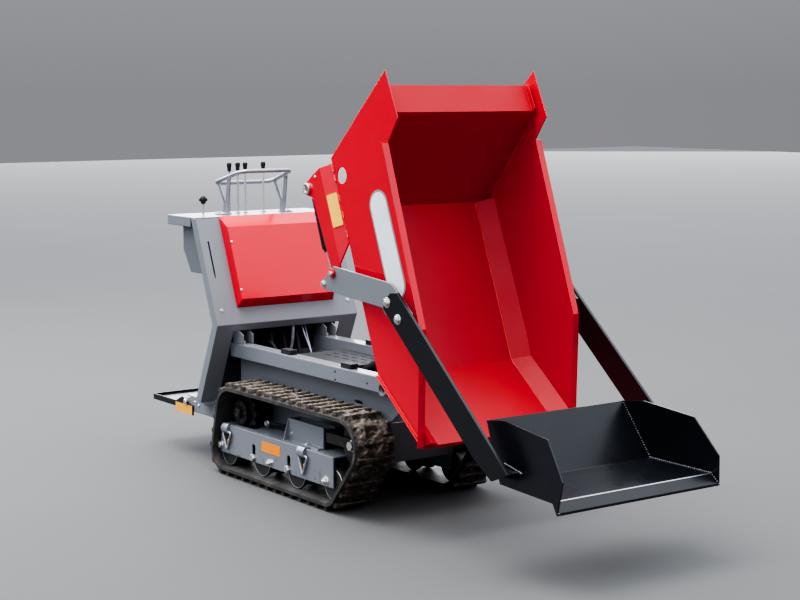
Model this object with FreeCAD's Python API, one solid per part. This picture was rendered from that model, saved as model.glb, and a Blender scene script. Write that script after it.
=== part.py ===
import FreeCAD
import Part
import math
import os

# A tracked site dumper with a self-loading shovel.
# +X is forward, +Y is the machine's left, +Z is up, and the ground is Z = 0.
# Stations along X are measured from a point just behind the front of the tracks.
# At the end every piece is moved so that the origin is under the middle of the machine.

V = FreeCAD.Vector

# Heights that the machine is built up on
RAIL_TOP = 536.0
TUB_BOTTOM = 170.0
CONSOLE_RISE = 89.0          # from the rails' top to the front panel's knee
CONSOLE_FACE_RISE = 446.0    # from the knee to the top plate

# Tip pivot and skip
TIP_PIVOT_X = 176.0
TIP_PIN_DROP = 45.0
TIP_PIVOT_Z = RAIL_TOP - TIP_PIN_DROP
TIP_ANGLE = 68.7             # the skip is stored tipped by this much
SKIP_PIVOT_U = 873.0         # the pivot in the skip's own frame, u along the floor
SKIP_PIVOT_N = -150.0        # n square to the floor
SKIP_HALF_WIDTH = 348.0
SKIP_SHEET = 4.0
SKIP_FLOOR_LENGTH = 845.0
SKIP_LIP_U = 1153.0
SKIP_LIP_N = 181.0
SKIP_BEND_U = 760.0          # front top corner of the side plates
SKIP_BEND_N = 346.0
SKIP_SHOULDER_U = 72.0       # where the side plates rise to the ears
SKIP_SHOULDER_N = 368.0
SKIP_EAR_U = 12.0
SKIP_EAR_N = 458.0
SKIP_EAR_TIP_U = -176.0
SKIP_EAR_TIP_N = 447.0
SKIP_REAR_FOOT_U = 200.0     # foot of the sloping rear wall
SKIP_REAR_TOP_U = -28.0
SKIP_REAR_TOP_N = 408.0
SKIP_REAR_SHELF = 108.0      # flat shelf behind the rear wall's top
SKIP_REAR_SHELF_DROP = 8.0
SKIP_STRIP_FOOT = 62.0       # welded corner strips between floor and sides
SKIP_STRIP_RISE = 50.0
SKIP_FLANGE = 25.0           # outward flange along the side plates' top and front edges
SKIP_LEDGE = 12.0            # edge of the ramp that stands out below the side plates
SKIP_LIP_DROP = 12.0         # turned-down edge of the ramp
SKIP_TAB_RISE = 20.0         # upright tabs at the shelf's two ends
SKIP_TAB_INSET = 14.0
RAMP_RUN = SKIP_LIP_U - SKIP_FLOOR_LENGTH
RAMP_LENGTH = math.hypot(RAMP_RUN, SKIP_LIP_N)
LIFT_HOLE_U = 85.0
LIFT_HOLE_N = 47.0
LIFT_HOLE_RADIUS = 30.0

# Beams and ears under the skip
UNDER_BEAM_WIDTH = 50.0
UNDER_BEAM_DEPTH = 85.0
UNDER_BEAM_REAR_U = 60.0
UNDER_BEAM_FRONT_U = 790.0
UNDER_BEAM_WALL = 5.0
UNDER_BEAM_NOSE = (40.0, 30.0)   # run and rise of the chamfer at the front end
UNDER_BEAM_TAIL = (60.0, 45.0)
UNDER_CROSS_U = 600.0
UNDER_CROSS_LENGTH = 40.0
UNDER_CROSS_DEPTH = 44.0
EAR_CLEARANCE = 6.0          # between a skip ear and the tub's side plate
EAR_THICKNESS = 16.0
EAR_RADIUS = 28.0
EAR_TOP_REAR_U = 750.0
EAR_TOP_FRONT_U = 930.0

# Rails and tub of the chassis
TUB_OUTER = 186.0
TUB_SHEET = 6.0
TUB_INNER = TUB_OUTER - TUB_SHEET
RAIL_SEAT = 5.0              # width of rail that rests on the tub's side plate
RAIL_WIDTH = 60.0
RAIL_INNER = TUB_OUTER - RAIL_SEAT
RAIL_OUTER = RAIL_INNER + RAIL_WIDTH
RAIL_MIDDLE = RAIL_INNER + RAIL_WIDTH * 0.5
EAR_INNER = TUB_INNER - EAR_CLEARANCE - EAR_THICKNESS
RAIL_HEIGHT = 60.0
RAIL_WALL = 5.0
RAIL_PLUG = 60.0             # solid end of the tube behind the tip pin
RAIL_REAR_X = -950.0
RAIL_FRONT_X = 212.0
RAIL_HOLE_X = -140.0
RAIL_HOLE_RADIUS = 4.5
RAIL_HOLE_SPACING = 32.0
RAIL_HOLE_DROP = 37.0        # middle of the pair below the rail's top
RAIL_FRONT_HOLE_X = 79.0
TUB_REAR_X = -960.0
TUB_HEEL = 90.0              # run and rise of the sloping heel
TUB_NOSE_SHEET = 8.0
TUB_SLOT_X = -59.0
TUB_SLOT_Z = 401.0
TUB_SLOT_LENGTH = 56.0
TUB_SLOT_WIDTH = 14.0
CROSS_SETBACK = 40.0         # cross member behind the tip cylinder's pin
CROSS_DEPTH = 20.0
CROSS_HALF_HEIGHT = 60.0
TUB_FRONT_TOP_X = 217.0
TUB_FRONT_MID_Z = 403.0
TUB_FRONT_LOW_X = 154.0
TUB_FRONT_LOW_Z = 350.0
TUB_NOSE_X = 60.0
TRAY_REAR_X = -700.0
TRAY_FRONT_X = -300.0
TRAY_DROP = 36.0
TRAY_TOP = RAIL_TOP - TRAY_DROP
TRAY_SHEET = 4.0
TRAY_SLOT_ROWS = (30.0, 75.0, 120.0)
TRAY_SLOT_COUNT = 5
TRAY_SLOT_PITCH = 68.0
TRAY_SLOT_LENGTH = 44.0
TRAY_SLOT_WIDTH = 8.0
TIP_PIN_RADIUS = 12.5
TIP_PIN_RECESS_RADIUS = 18.0
TIP_PIN_RECESS_DEPTH = 8.0
TIP_PIN_END = 6.0            # length of pin inboard of the skip's ear
PAD_LENGTH = 70.0
PAD_HALF_WIDTH = 18.0
PAD_STATIONS = (-560.0, -120.0)
RUNNING_GAP = 0.05           # radial play of every pin in its moving eye
SEAT_GAP = 0.3               # play of what rests on a pad

TRACK_FRAME_TOP = 212.0
WHEEL_RISE = 58.0            # of the sprocket's and idler's middles above the frame's top

# Tracks: wheels that the belt runs round, columns are x, z and radius
TRACK_CLEARANCE = 9.0        # between the tub and the track
TRACK_WIDTH = 180.0
TRACK_INNER = TUB_OUTER + TRACK_CLEARANCE
TRACK_OUTER = TRACK_INNER + TRACK_WIDTH
TRACK_MIDDLE = TRACK_INNER + TRACK_WIDTH * 0.5
BELT_THICKNESS = 14.0
LUG_HEIGHT = 20.0
LUG_FOOT = 30.0
LUG_TIP = 17.0
LUG_COUNT = 42
LUG_MARGIN = 6.0
BOTTOM_ROLLER_RADIUS = 66.0
BOTTOM_ROLLER_Z = LUG_HEIGHT + BELT_THICKNESS + BOTTOM_ROLLER_RADIUS
FIRST_ROLLER_X = -815.0
ROLLER_PITCH = 265.0
ROLLER_COUNT = 4
LAST_ROLLER_X = FIRST_ROLLER_X + ROLLER_PITCH * (ROLLER_COUNT - 1)
SPROCKET_X = -745.0
SPROCKET_Z = TRACK_FRAME_TOP + WHEEL_RISE
SPROCKET_RADIUS = 95.0
IDLER_X = 85.0
IDLER_Z = TRACK_FRAME_TOP + WHEEL_RISE
IDLER_RADIUS = 95.0
WHEEL_GAP = 0.5              # between a wheel's rim and the belt
BELT_WHEELS = (
    (SPROCKET_X, SPROCKET_Z, SPROCKET_RADIUS),
    (FIRST_ROLLER_X, BOTTOM_ROLLER_Z, BOTTOM_ROLLER_RADIUS),
    (LAST_ROLLER_X, BOTTOM_ROLLER_Z, BOTTOM_ROLLER_RADIUS),
    (IDLER_X, IDLER_Z, IDLER_RADIUS),
)

# Track frames
TRACK_FRAME_HALF = 60.0
TRACK_FRAME_OUTER = TRACK_MIDDLE + TRACK_FRAME_HALF
TRACK_FRAME_INNER = TRACK_MIDDLE - TRACK_FRAME_HALF
TRACK_FRAME_SHEET = 6.0
TRACK_FRAME_REAR_X = -868.0
TRACK_FRAME_RAKE = 18.0      # the rear end leans forward with the belt
TRACK_FRAME_FRONT_X = 0.0
TRACK_FRAME_BOTTOM = 88.0
ROLLER_WIDTH = 90.0
ROLLER_RIM = 14.0
ROLLER_GROOVE = 10.0
AXLE_RADIUS = 11.0
TENSION_BOX_REAR_X = -395.0
TENSION_BOX_FRONT_X = -136.0
TENSION_BOX_HEIGHT = 88.0
TENSION_BOX_TOP = TRACK_FRAME_TOP + TENSION_BOX_HEIGHT
TENSION_BOX_HALF = 30.0
TENSION_BOX_SHEET = 6.0
TENSION_MIDDLE = TRACK_MIDDLE - 15.0
TENSION_FOOT = 26.0          # flange at the box's outer foot
TENSION_FOOT_REAR_X = -250.0
SLOT_STATIONS = (-592.0, -322.0)
SLOT_WIDTH = 24.0
SLOT_TOP = 162.0
LINK_STATIONS = (-720.0, -560.0, -60.0)
LINK_LENGTH = 60.0
LINK_BOTTOM = 150.0
LINK_DROP = 10.0
FORK_BAR = 40.0
FORK_PLATE = 14.0
FORK_CLEARANCE = 4.0
FORK_REAR_X = -100.0
FORK_CROSS = 42.0            # depth of the fork's cross piece
FORK_NOSE = 28.0
FORK_LAP = 4.0               # overlap of what is welded to the cross piece
IDLER_HALF_WIDTH = 22.0
TENSION_SCREW_RADIUS = 15.0
TENSION_SCREW_TAIL = 20.0    # length of screw inside the box
TENSION_SEAT_LENGTH = 30.0
TENSION_SEAT_HALF = 24.0
TENSION_SEAT_RISE = 20.0
SPROCKET_TEETH = 13
SPROCKET_PLATE = 22.0
SPROCKET_TOOTH = 16.0        # height of a tooth above the root circle
SPROCKET_TOOTH_FOOT = 28.0
SPROCKET_TOOTH_TIP = 14.0
HUB_RADIUS = 52.0
HUB_OUTER = TRACK_MIDDLE + 33.0
HUB_CAP_RADIUS = 24.0
HUB_CAP_RISE = 14.0

# Console
CONSOLE_HALF = 356.0
CONSOLE_KNEE_X = -859.0
CONSOLE_KNEE_Z = RAIL_TOP + CONSOLE_RISE
CONSOLE_BROW_X = -1034.0
CONSOLE_TOP = CONSOLE_KNEE_Z + CONSOLE_FACE_RISE
CONSOLE_FOOT_X = -1013.0
CONSOLE_FOOT_PLATE = 6.0
CONSOLE_SHEET = 4.0
CONSOLE_RETURN = 45.0        # depth of the folded side strips
CONSOLE_REAR_X = -1190.0
LEG_WIDTH = 86.0
KNEE_BAND = 30.0             # height of panel kept between the legs
TOP_REAR_X = -1286.0
TOP_LIP = 42.0
SIDE_PANEL_INSET = 26.0
SIDE_PANEL_DEPTH = 241.0     # from the top plate down to where the side draws in
SIDE_PANEL_LOW_Z = CONSOLE_TOP - SIDE_PANEL_DEPTH
SIDE_PANEL_TAPER_X = 60.0
SIDE_PANEL_TAPER_Z = 90.0
FACE_SLOT_INSET = 38.0       # slot beside the hood, from the console's edge
FACE_SLOT_Y = CONSOLE_HALF - FACE_SLOT_INSET
FACE_SLOT_LOW = 207.0
FACE_SLOT_HIGH = 370.0
FACE_SLOT_WIDTH = 6.0
ENGINE_ROOM = 14.0           # between the engine and the plates beside it
HOOD_MARGIN = 111.0          # from the hood's side to the console's edge
HOOD_HALF = CONSOLE_HALF - HOOD_MARGIN
HOOD_LOW = 72.0              # distances up the sloping face
HOOD_HIGH = 482.0
HOOD_DEPTH = 40.0
HOOD_FOOT_RUN = 25.2         # runs of the bevelled edges at the foot, the brow and the sides
HOOD_BROW_RUN = 61.2
HOOD_SIDE_RUN = 10.8
CONSOLE_EAR_THICKNESS = 6.0
CONSOLE_EAR_REAR_X = -935.0
CONSOLE_EAR_FRONT_X = -850.0
CONSOLE_EAR_OFFSET = 24.0
CONSOLE_EAR_SHOULDER = 48.0  # below the knee
CONSOLE_EAR_NECK = 25.0      # behind the knee, where the ear's front edge leans back under the panel
CONSOLE_EAR_NECK_DROP = 33.0
CONSOLE_EAR_SETBACK = 12.0   # of the ear's top behind the knee

# Engine, a plain block inside the console
ENGINE_REAR_X = -1180.0
ENGINE_FRONT_X = -984.0
ENGINE_HALF = 190.0
ENGINE_HEIGHT = 275.0

# Handrail and levers
RAIL_TUBE_RADIUS = 9.0
LOOP_FRONT_X = -1037.0
LOOP_FRONT_RISE = 191.0      # above the top plate
LOOP_FRONT_HALF = 130.0
LOOP_REAR_X = -1240.0
LOOP_REAR_RISE = 132.0
LOOP_REAR_HALF = 150.0
LOOP_BEND = 38.0
POST_HALF = 148.0
POST_THICKNESS = 5.0
POST_BASE_X = -1143.0
# Forked post, columns are x from its middle and height above the top plate
POST_OUTLINE = (
    (-22.0, 0.0), (22.0, 0.0), (46.0, 165.0), (18.0, 157.0),
    (2.0, 59.0), (-50.0, 141.0), (-70.0, 135.0), (-14.0, 49.0),
)
POST_FOOT_HALF = 30.0
POST_FOOT_WIDTH = 34.0
POST_FOOT_PLATE = 5.0
LEVER_X = -1182.0
LEVER_HEIGHT = 224.0
LEVER_RADIUS = 4.0
GRIP_RADIUS = 9.0
GRIP_LENGTH = 38.0
LEVER_SIDES = (-118.0, -60.0, -14.0, 71.0)
SPEED_LEVER_X = -1245.0
SPEED_LEVER_Y = -200.0
SPEED_LEVER_HEIGHT = 79.0
KNOB_RADIUS = 17.0
KNOB_DEPTH = 14.0
KNOB_LOBES = 6
KNOB_NOTCH = 5.0

# Step and the frame that carries it
STEP_HALF = 300.0
STEP_SHEET = 5.0
STEP_PLAY = 1.0              # between the step's side plates and the frame's
STEP_REAR_X = -1556.0
STEP_HINGE_X = -1243.0
STEP_HINGE_Z = 240.0
STEP_PIN_RADIUS = 8.0
STEP_PIN_HEAD = 6.0
STEP_FRAME_FRONT_X = -962.0
STEP_FRAME_TOP = 271.0
STEP_FRAME_BOTTOM = 202.0
STEP_TOP_REAR_X = -1245.0
STEP_PLATE_REAR_X = -1195.0    # where the frame's side plate slopes down to its tongue
STEP_TONGUE = 12.0           # of the frame's side plate round the hinge
STEP_WING_REAR_X = -1083.0   # cross plate under the console's legs
STEP_WING_FRONT_X = -993.0
CONSOLE_FOOT_Z = STEP_FRAME_TOP + CONSOLE_FOOT_PLATE
STEP_TREAD_Z = 222.0
STEP_TREAD_PLATE = 8.0
STEP_TREAD_FRONT_X = -1270.0
STEP_RIM_LOW = -34.0         # edges of the rim round the tread, from the hinge
STEP_RIM_HIGH = -8.0
# Side plate of the step, columns are x from the hinge and height above it
STEP_SIDE_OUTLINE = (
    (-313.0, STEP_RIM_LOW), (-100.0, STEP_RIM_LOW), (-100.0, -55.0), (58.0, -55.0),
    (58.0, -10.0), (-41.0, 18.0), (-100.0, STEP_RIM_HIGH), (-313.0, STEP_RIM_HIGH),
)

# Hoses, columns are y, x at the top and x at the foot
HOSE_RADIUS = 9.0
HOSE_DROP = 60.0
HOSE_BEND = 45.0
HOSE_RUNS = ((-60.0, -915.0, -820.0), (10.0, -925.0, -840.0), (70.0, -915.0, -800.0))

# Loader arms and shovel, x and z counted from the arm pivot as stored
ARM_PIVOT_U = 425.0
ARM_PIVOT_N = -81.0
ARM_PIN_RADIUS = 12.0
BRACKET_STAND_OFF = 26.0     # of the outer bracket plate from the skip's side
BRACKET_OUTER = SKIP_HALF_WIDTH + BRACKET_STAND_OFF
PLATE_CLEARANCE = 8.0        # between the bracket and the lift plate
PLATE_INNER = BRACKET_OUTER + PLATE_CLEARANCE
PLATE_THICKNESS = 10.0
BAR_THICKNESS = 12.0
BAR_BOLT_RADIUS = 11.0
BAR_BOLT_HEAD = 8.0
PLATE_OUTLINE = (
    (-86.0, -45.0), (0.0, 26.0), (365.0, -4.0), (390.0, -18.0),
    (495.0, -103.0), (400.0, -135.0), (337.0, -120.0), (316.0, -97.0), (-58.0, -68.0),
)
BAR_OUTLINE = (
    (339.0, -98.0), (343.0, -72.0), (384.0, -36.0), (424.0, -32.0), (1047.0, -576.0),
    (960.0, -612.0), (869.0, -555.0), (357.0, -113.0),
)
BAR_BOLTS = ((364.0, -73.0), (430.0, -127.0))
SHOVEL_PROFILE = (
    (825.0, -436.0), (932.0, -421.0), (1166.0, -444.0), (1267.0, -566.0),
    (1256.0, -676.0), (1226.6, -640.5), (938.0, -633.5),
)
SHOVEL_SHEET = 6.0
SHOVEL_INSET = 134.2
SHOVEL_HALF_AT_PIVOT = SKIP_HALF_WIDTH - SHOVEL_INSET   # half width grows forward and downward
SHOVEL_FLARE_X = 0.0557
SHOVEL_FLARE_Z = -0.129
SHOVEL_CAVITY = (
    (831.0, -400.0), (831.0, -436.0), (944.0, -627.5), (1225.6, -634.5),
    (1258.0, -668.0), (1330.0, -640.0), (1330.0, -400.0),
)
FLARE_REACH = (700.0, 1400.0, -800.0, -300.0)   # x and z limits of the flared block
GUSSET_INSET = 10.0
GUSSET_INNER = SKIP_HALF_WIDTH - GUSSET_INSET
GUSSET_OUTLINE = ((905.0, -566.0), (1040.0, -576.0), (960.0, -608.0))

# Arm brackets under the skip
BRACKET_SHEET = 6.0
BRACKET_SHELF_N = -50.0
BRACKET_REAR_U = 20.0
BRACKET_SHELF_FRONT = (330.0, 400.0)   # front corners of the sloping shelf, inner then outer
BRACKET_DEPTH = 74.0         # from the outer plate to the inner plate
BRACKET_INNER = BRACKET_OUTER - BRACKET_DEPTH
BRACKET_LOBE = 26.0          # radius of the plates round the lift cylinder's pin
BRACKET_OUTLINE = (
    (20.0, -50.0), (400.0, -50.0), (452.0, -62.0), (452.0, -110.0),
    (300.0, -120.0), (110.0, -138.0), (90.0, -170.0), (44.0, -163.0), (30.0, -110.0),
)
BRACKET_INNER_OUTLINE = ((34.0, -50.0), (130.0, -50.0), (93.0, -165.0), (44.0, -165.0))
ARM_PIN_HEAD = 8.0
ARM_PIN_HEAD_RADIUS = 16.8

# Both kinds of cylinder
BARREL_NECK = 16.0           # between the base eye and the barrel
BARREL_END_WALL = 10.0
GLAND_LENGTH = 12.0
GLAND_SHARE = 0.8            # of the barrel's radius
NECK_SHARE = 0.8             # of the eye's half width
EYE_SHARE = 0.6              # of the eye's radius, where the neck begins

# Lift cylinders, in the skip's frame
LIFT_BASE_U = 68.5
LIFT_BASE_N = -155.0
LIFT_EYE_U = 444.0
LIFT_EYE_N = -159.0
LIFT_CENTRE = (BRACKET_INNER + BRACKET_OUTER) * 0.5
LIFT_BARREL_RADIUS = 24.0
LIFT_ROD_RADIUS = 12.5
LIFT_BARREL_LENGTH = 238.0
LIFT_EYE_RADIUS = 22.0
LIFT_EYE_WIDTH = 30.0
LIFT_PIN_RADIUS = 10.0
LIFT_STROKE_ROOM = 90.0

# Tip cylinder
TIP_BASE_X = -500.0
TIP_BASE_RISE = 190.0        # of the base pin above the tub's floor
TIP_BASE_Z = TUB_BOTTOM + TIP_BASE_RISE
TIP_EYE_U = 700.0
TIP_EYE_N = -80.0
TIP_BARREL_RADIUS = 32.0
TIP_ROD_RADIUS = 16.0
TIP_BARREL_LENGTH = 455.0
TIP_EYE_RADIUS = 26.0
TIP_EYE_WIDTH = 36.0
TIP_CYLINDER_PIN_RADIUS = 12.5
TIP_CLEVIS_GAP = 4.0
TIP_CLEVIS_THICKNESS = 12.0
TIP_CLEVIS_FOOT = 58.0       # half length of the clevis where it meets the floor
TIP_EAR_ROOT = 34.0          # half height of the base ears at the cross member
TIP_PIN_HEAD = 4.0
TIP_STROKE_ROOM = 220.0


def skip_point(u, n):
    """Turn a point of the skip's frame into x and z as stored."""
    angle = math.radians(TIP_ANGLE)
    along = u - SKIP_PIVOT_U
    above = n - SKIP_PIVOT_N
    x = TIP_PIVOT_X + along * math.cos(angle) + above * math.sin(angle)
    z = TIP_PIVOT_Z - along * math.sin(angle) + above * math.cos(angle)
    return x, z


def place_skip(shape):
    """Carry a shape from the skip's frame to its stored, tipped place."""
    shape.translate(V(TIP_PIVOT_X - SKIP_PIVOT_U, 0, TIP_PIVOT_Z - SKIP_PIVOT_N))
    shape.rotate(V(TIP_PIVOT_X, 0, TIP_PIVOT_Z), V(0, 1, 0), TIP_ANGLE)
    return shape


ARM_PIVOT_X, ARM_PIVOT_Z = skip_point(ARM_PIVOT_U, ARM_PIVOT_N)


def place_loader(shape):
    """Carry a shape from the loader's frame to its place."""
    shape.translate(V(ARM_PIVOT_X, 0, ARM_PIVOT_Z))
    return shape


def prism(points, y_low, y_high):
    """Extrude an outline of x and z points between two y values."""
    corners = [V(x, y_low, z) for x, z in points]
    face = Part.Face(Part.makePolygon(corners + corners[:1]))
    return face.extrude(V(0, y_high - y_low, 0))


def box(x_low, x_high, y_low, y_high, z_low, z_high):
    return Part.makeBox(x_high - x_low, y_high - y_low, z_high - z_low, V(x_low, y_low, z_low))


def rod_y(x, z, radius, y_low, y_high):
    return Part.makeCylinder(radius, y_high - y_low, V(x, y_low, z), V(0, 1, 0))


def rod_between(start, end, radius):
    direction = end - start
    return Part.makeCylinder(radius, direction.Length, start, direction)


def fuse(shapes):
    result = shapes[0].fuse(list(shapes[1:])) if len(shapes) > 1 else shapes[0]
    return result.removeSplitter()


def mirrored(shape):
    return shape.mirror(V(0, 0, 0), V(0, 1, 0))


def both_sides(shape):
    return Part.makeCompound([shape, mirrored(shape)])


def disc_y(x, z, radius, y_low, thickness):
    return rod_y(x, z, radius, y_low, y_low + thickness)


def around(middle, half):
    """The two ends of a stretch about its middle."""
    return middle - half, middle + half


def bent_tube(points, bend, radius, closed=False):
    """A tube through points, with its corners bent round to one radius."""
    count = len(points)
    elbows = []
    ends = {}
    for index in range(count):
        if not closed and index in (0, count - 1):
            ends[index] = (points[index], points[index])
            continue
        before = (points[index] - points[index - 1]).normalize()
        after = (points[(index + 1) % count] - points[index]).normalize()
        turn = before.getAngle(after)
        reach = bend * math.tan(turn * 0.5)
        start = points[index] - before * reach
        axis = before.cross(after).normalize()
        centre = start + axis.cross(before) * bend
        ends[index] = (start, points[index] + after * reach)
        ring = Part.Face(Part.Wire(Part.makeCircle(radius, start, before)))
        elbows.append(ring.revolve(centre, axis, math.degrees(turn)))
    last = count if closed else count - 1
    runs = [rod_between(ends[index][1], ends[(index + 1) % count][0], radius) for index in range(last)]
    return fuse(runs + elbows)


def tangent_outline(wheels, extra):
    """Outline of a belt round wheels given in order, grown outward by extra."""
    edges = []
    joints = []
    count = len(wheels)
    for index in range(count):
        x1, z1, r1 = wheels[index]
        x2, z2, r2 = wheels[(index + 1) % count]
        run = math.hypot(x2 - x1, z2 - z1)
        heading = math.atan2(z2 - z1, x2 - x1)
        normal = heading - math.pi / 2 + math.asin((r1 - r2) / run)
        side = V(math.cos(normal), 0, math.sin(normal))
        joints.append((V(x1, 0, z1) + side * (r1 + extra), V(x2, 0, z2) + side * (r2 + extra)))
    for index in range(count):
        start, end = joints[index]
        following = joints[(index + 1) % count][0]
        x, z, radius = wheels[(index + 1) % count]
        centre = V(x, 0, z)
        bulge = (end + following) * 0.5 - centre
        middle = centre + bulge.normalize() * (radius + extra)
        edges.append(Part.LineSegment(start, end).toShape())
        edges.append(Part.Arc(end, middle, following).toShape())
    return Part.Wire(edges)


def belt_ring(inner_extra, outer_extra, y_low, y_high):
    outer = Part.Face(tangent_outline(BELT_WHEELS, outer_extra))
    inner = Part.Face(tangent_outline(BELT_WHEELS, inner_extra))
    ring = outer.cut(inner)
    ring.translate(V(0, y_low, 0))
    return ring.extrude(V(0, y_high - y_low, 0))


def track_belt():
    """Left track: a belt with lugs all the way round, all one loop."""
    belt = belt_ring(0.0, BELT_THICKNESS, TRACK_INNER, TRACK_OUTER)
    path = tangent_outline(BELT_WHEELS, BELT_THICKNESS)
    steps = 8
    probe = path.discretize(Number=LUG_COUNT * steps + 1)[:-1]
    lugs = []
    for index in range(0, len(probe), steps):
        station = probe[index]
        along = (probe[(index + 1) % len(probe)] - probe[index - 1]).normalize()
        outward = V(along.z, 0, -along.x)
        foot = station - outward * (BELT_THICKNESS * 0.5)
        tip = station + outward * LUG_HEIGHT
        corners = [
            foot - along * LUG_FOOT * 0.5, foot + along * LUG_FOOT * 0.5,
            tip + along * LUG_TIP * 0.5, tip - along * LUG_TIP * 0.5,
        ]
        outline = [(corner.x, corner.z) for corner in corners]
        lugs.append(prism(outline, TRACK_INNER + LUG_MARGIN, TRACK_OUTER - LUG_MARGIN))
    ground = box(SPROCKET_X - TRACK_OUTER, IDLER_X + TRACK_OUTER, 0.0, TRACK_OUTER + 1.0,
                 -LUG_HEIGHT * 2.0, 0.0)
    return belt.fuse(lugs).cut(ground)


def track_frame():
    """Left track frame: a folded channel open downwards, with its tension box.

    The box's rear end plate is wider at its foot than the box.
    """
    outer = TRACK_FRAME_OUTER
    inner = TRACK_FRAME_INNER
    sheet = TRACK_FRAME_SHEET
    shell = prism((
        (TRACK_FRAME_REAR_X, TRACK_FRAME_BOTTOM), (TRACK_FRAME_FRONT_X, TRACK_FRAME_BOTTOM),
        (TRACK_FRAME_FRONT_X, TRACK_FRAME_TOP), (TRACK_FRAME_REAR_X + TRACK_FRAME_RAKE, TRACK_FRAME_TOP),
    ), inner, outer)
    cuts = [
        box(TRACK_FRAME_REAR_X - 1.0, TRACK_FRAME_FRONT_X + 1.0, inner + sheet, outer - sheet,
            TRACK_FRAME_BOTTOM - 1.0, TRACK_FRAME_TOP - sheet),
        box(*around(SPROCKET_X, SPROCKET_RADIUS), *around(TRACK_MIDDLE, SPROCKET_PLATE),
            TRACK_FRAME_BOTTOM, TRACK_FRAME_TOP + 1.0),
    ]
    slot_end_z = SLOT_TOP - SLOT_WIDTH * 0.5
    for station in SLOT_STATIONS:
        cuts.append(box(*around(station, SLOT_WIDTH * 0.5), outer - sheet - 1.0, outer + 1.0,
                        TRACK_FRAME_BOTTOM - 1.0, slot_end_z))
        cuts.append(rod_y(station, slot_end_z, SLOT_WIDTH * 0.5, outer - sheet - 1.0, outer + 1.0))
    channel = shell.cut(cuts)
    box_inner, box_outer = around(TENSION_MIDDLE, TENSION_BOX_HALF)
    wall = TENSION_BOX_SHEET
    tension = box(TENSION_BOX_REAR_X, TENSION_BOX_FRONT_X, box_inner, box_outer,
                  TRACK_FRAME_TOP, TENSION_BOX_TOP)
    tension_hollow = box(TENSION_BOX_REAR_X + wall, TENSION_BOX_FRONT_X + 1.0, box_inner + wall,
                         box_outer - wall, TRACK_FRAME_TOP, TENSION_BOX_TOP + 1.0)
    end_corners = [
        V(TENSION_BOX_REAR_X, box_inner, TRACK_FRAME_TOP),
        V(TENSION_BOX_REAR_X, box_outer + TENSION_FOOT, TRACK_FRAME_TOP),
        V(TENSION_BOX_REAR_X, box_outer, TENSION_BOX_TOP), V(TENSION_BOX_REAR_X, box_inner, TENSION_BOX_TOP),
    ]
    end_plate = sloping_slab(end_corners, V(wall, 0, 0))
    foot = box(TENSION_FOOT_REAR_X, TENSION_BOX_FRONT_X, box_outer, box_outer + TENSION_FOOT,
               TRACK_FRAME_TOP, TRACK_FRAME_TOP + wall)
    links = [box(station, station + LINK_LENGTH, TUB_OUTER, inner, LINK_BOTTOM, TRACK_FRAME_TOP - LINK_DROP)
             for station in LINK_STATIONS]
    return fuse([channel, tension.cut(tension_hollow), end_plate, foot] + links)


def bottom_rollers():
    """Left bottom rollers: drums with a groove for the belt's guides, on their axles."""
    low, high = around(TRACK_MIDDLE, ROLLER_WIDTH * 0.5)
    radius = BOTTOM_ROLLER_RADIUS - WHEEL_GAP
    pieces = []
    for index in range(ROLLER_COUNT):
        x = FIRST_ROLLER_X + index * ROLLER_PITCH
        drum = rod_y(x, BOTTOM_ROLLER_Z, radius - ROLLER_GROOVE, low, high)
        rims = [disc_y(x, BOTTOM_ROLLER_Z, radius, start, ROLLER_RIM) for start in (low, high - ROLLER_RIM)]
        axle = rod_y(x, BOTTOM_ROLLER_Z, AXLE_RADIUS, TRACK_FRAME_INNER + TRACK_FRAME_SHEET,
                     TRACK_FRAME_OUTER - TRACK_FRAME_SHEET)
        pieces.append(fuse([drum, axle] + rims))
    return Part.makeCompound(pieces)


def sprocket():
    """Left drive sprocket on its motor, which is fixed to the tub."""
    low, high = around(TRACK_MIDDLE, SPROCKET_PLATE * 0.5)
    root = SPROCKET_RADIUS - SPROCKET_TOOTH
    centre = V(SPROCKET_X, 0, SPROCKET_Z)
    teeth = []
    for index in range(SPROCKET_TEETH):
        angle = 2 * math.pi * index / SPROCKET_TEETH
        along = V(-math.sin(angle), 0, math.cos(angle))
        outward = V(math.cos(angle), 0, math.sin(angle))
        foot = centre + outward * (root - SPROCKET_TOOTH * 0.5)
        tip = centre + outward * (SPROCKET_RADIUS - WHEEL_GAP)
        corners = [
            foot - along * SPROCKET_TOOTH_FOOT * 0.5, foot + along * SPROCKET_TOOTH_FOOT * 0.5,
            tip + along * SPROCKET_TOOTH_TIP * 0.5, tip - along * SPROCKET_TOOTH_TIP * 0.5,
        ]
        teeth.append(prism([(corner.x, corner.z) for corner in corners], low, high))
    disc = rod_y(SPROCKET_X, SPROCKET_Z, root, low, high)
    hub = rod_y(SPROCKET_X, SPROCKET_Z, HUB_RADIUS, TUB_OUTER, HUB_OUTER)
    cap = disc_y(SPROCKET_X, SPROCKET_Z, HUB_CAP_RADIUS, HUB_OUTER, HUB_CAP_RISE)
    return fuse([disc, hub, cap] + teeth)


def idler():
    """Left front idler on its axle."""
    wheel = rod_y(IDLER_X, IDLER_Z, IDLER_RADIUS - WHEEL_GAP, *around(TENSION_MIDDLE, IDLER_HALF_WIDTH))
    reach = IDLER_HALF_WIDTH + FORK_CLEARANCE + FORK_PLATE * 2.0
    axle = rod_y(IDLER_X, IDLER_Z, AXLE_RADIUS, *around(TENSION_MIDDLE, reach))
    return fuse([wheel, axle])


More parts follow.
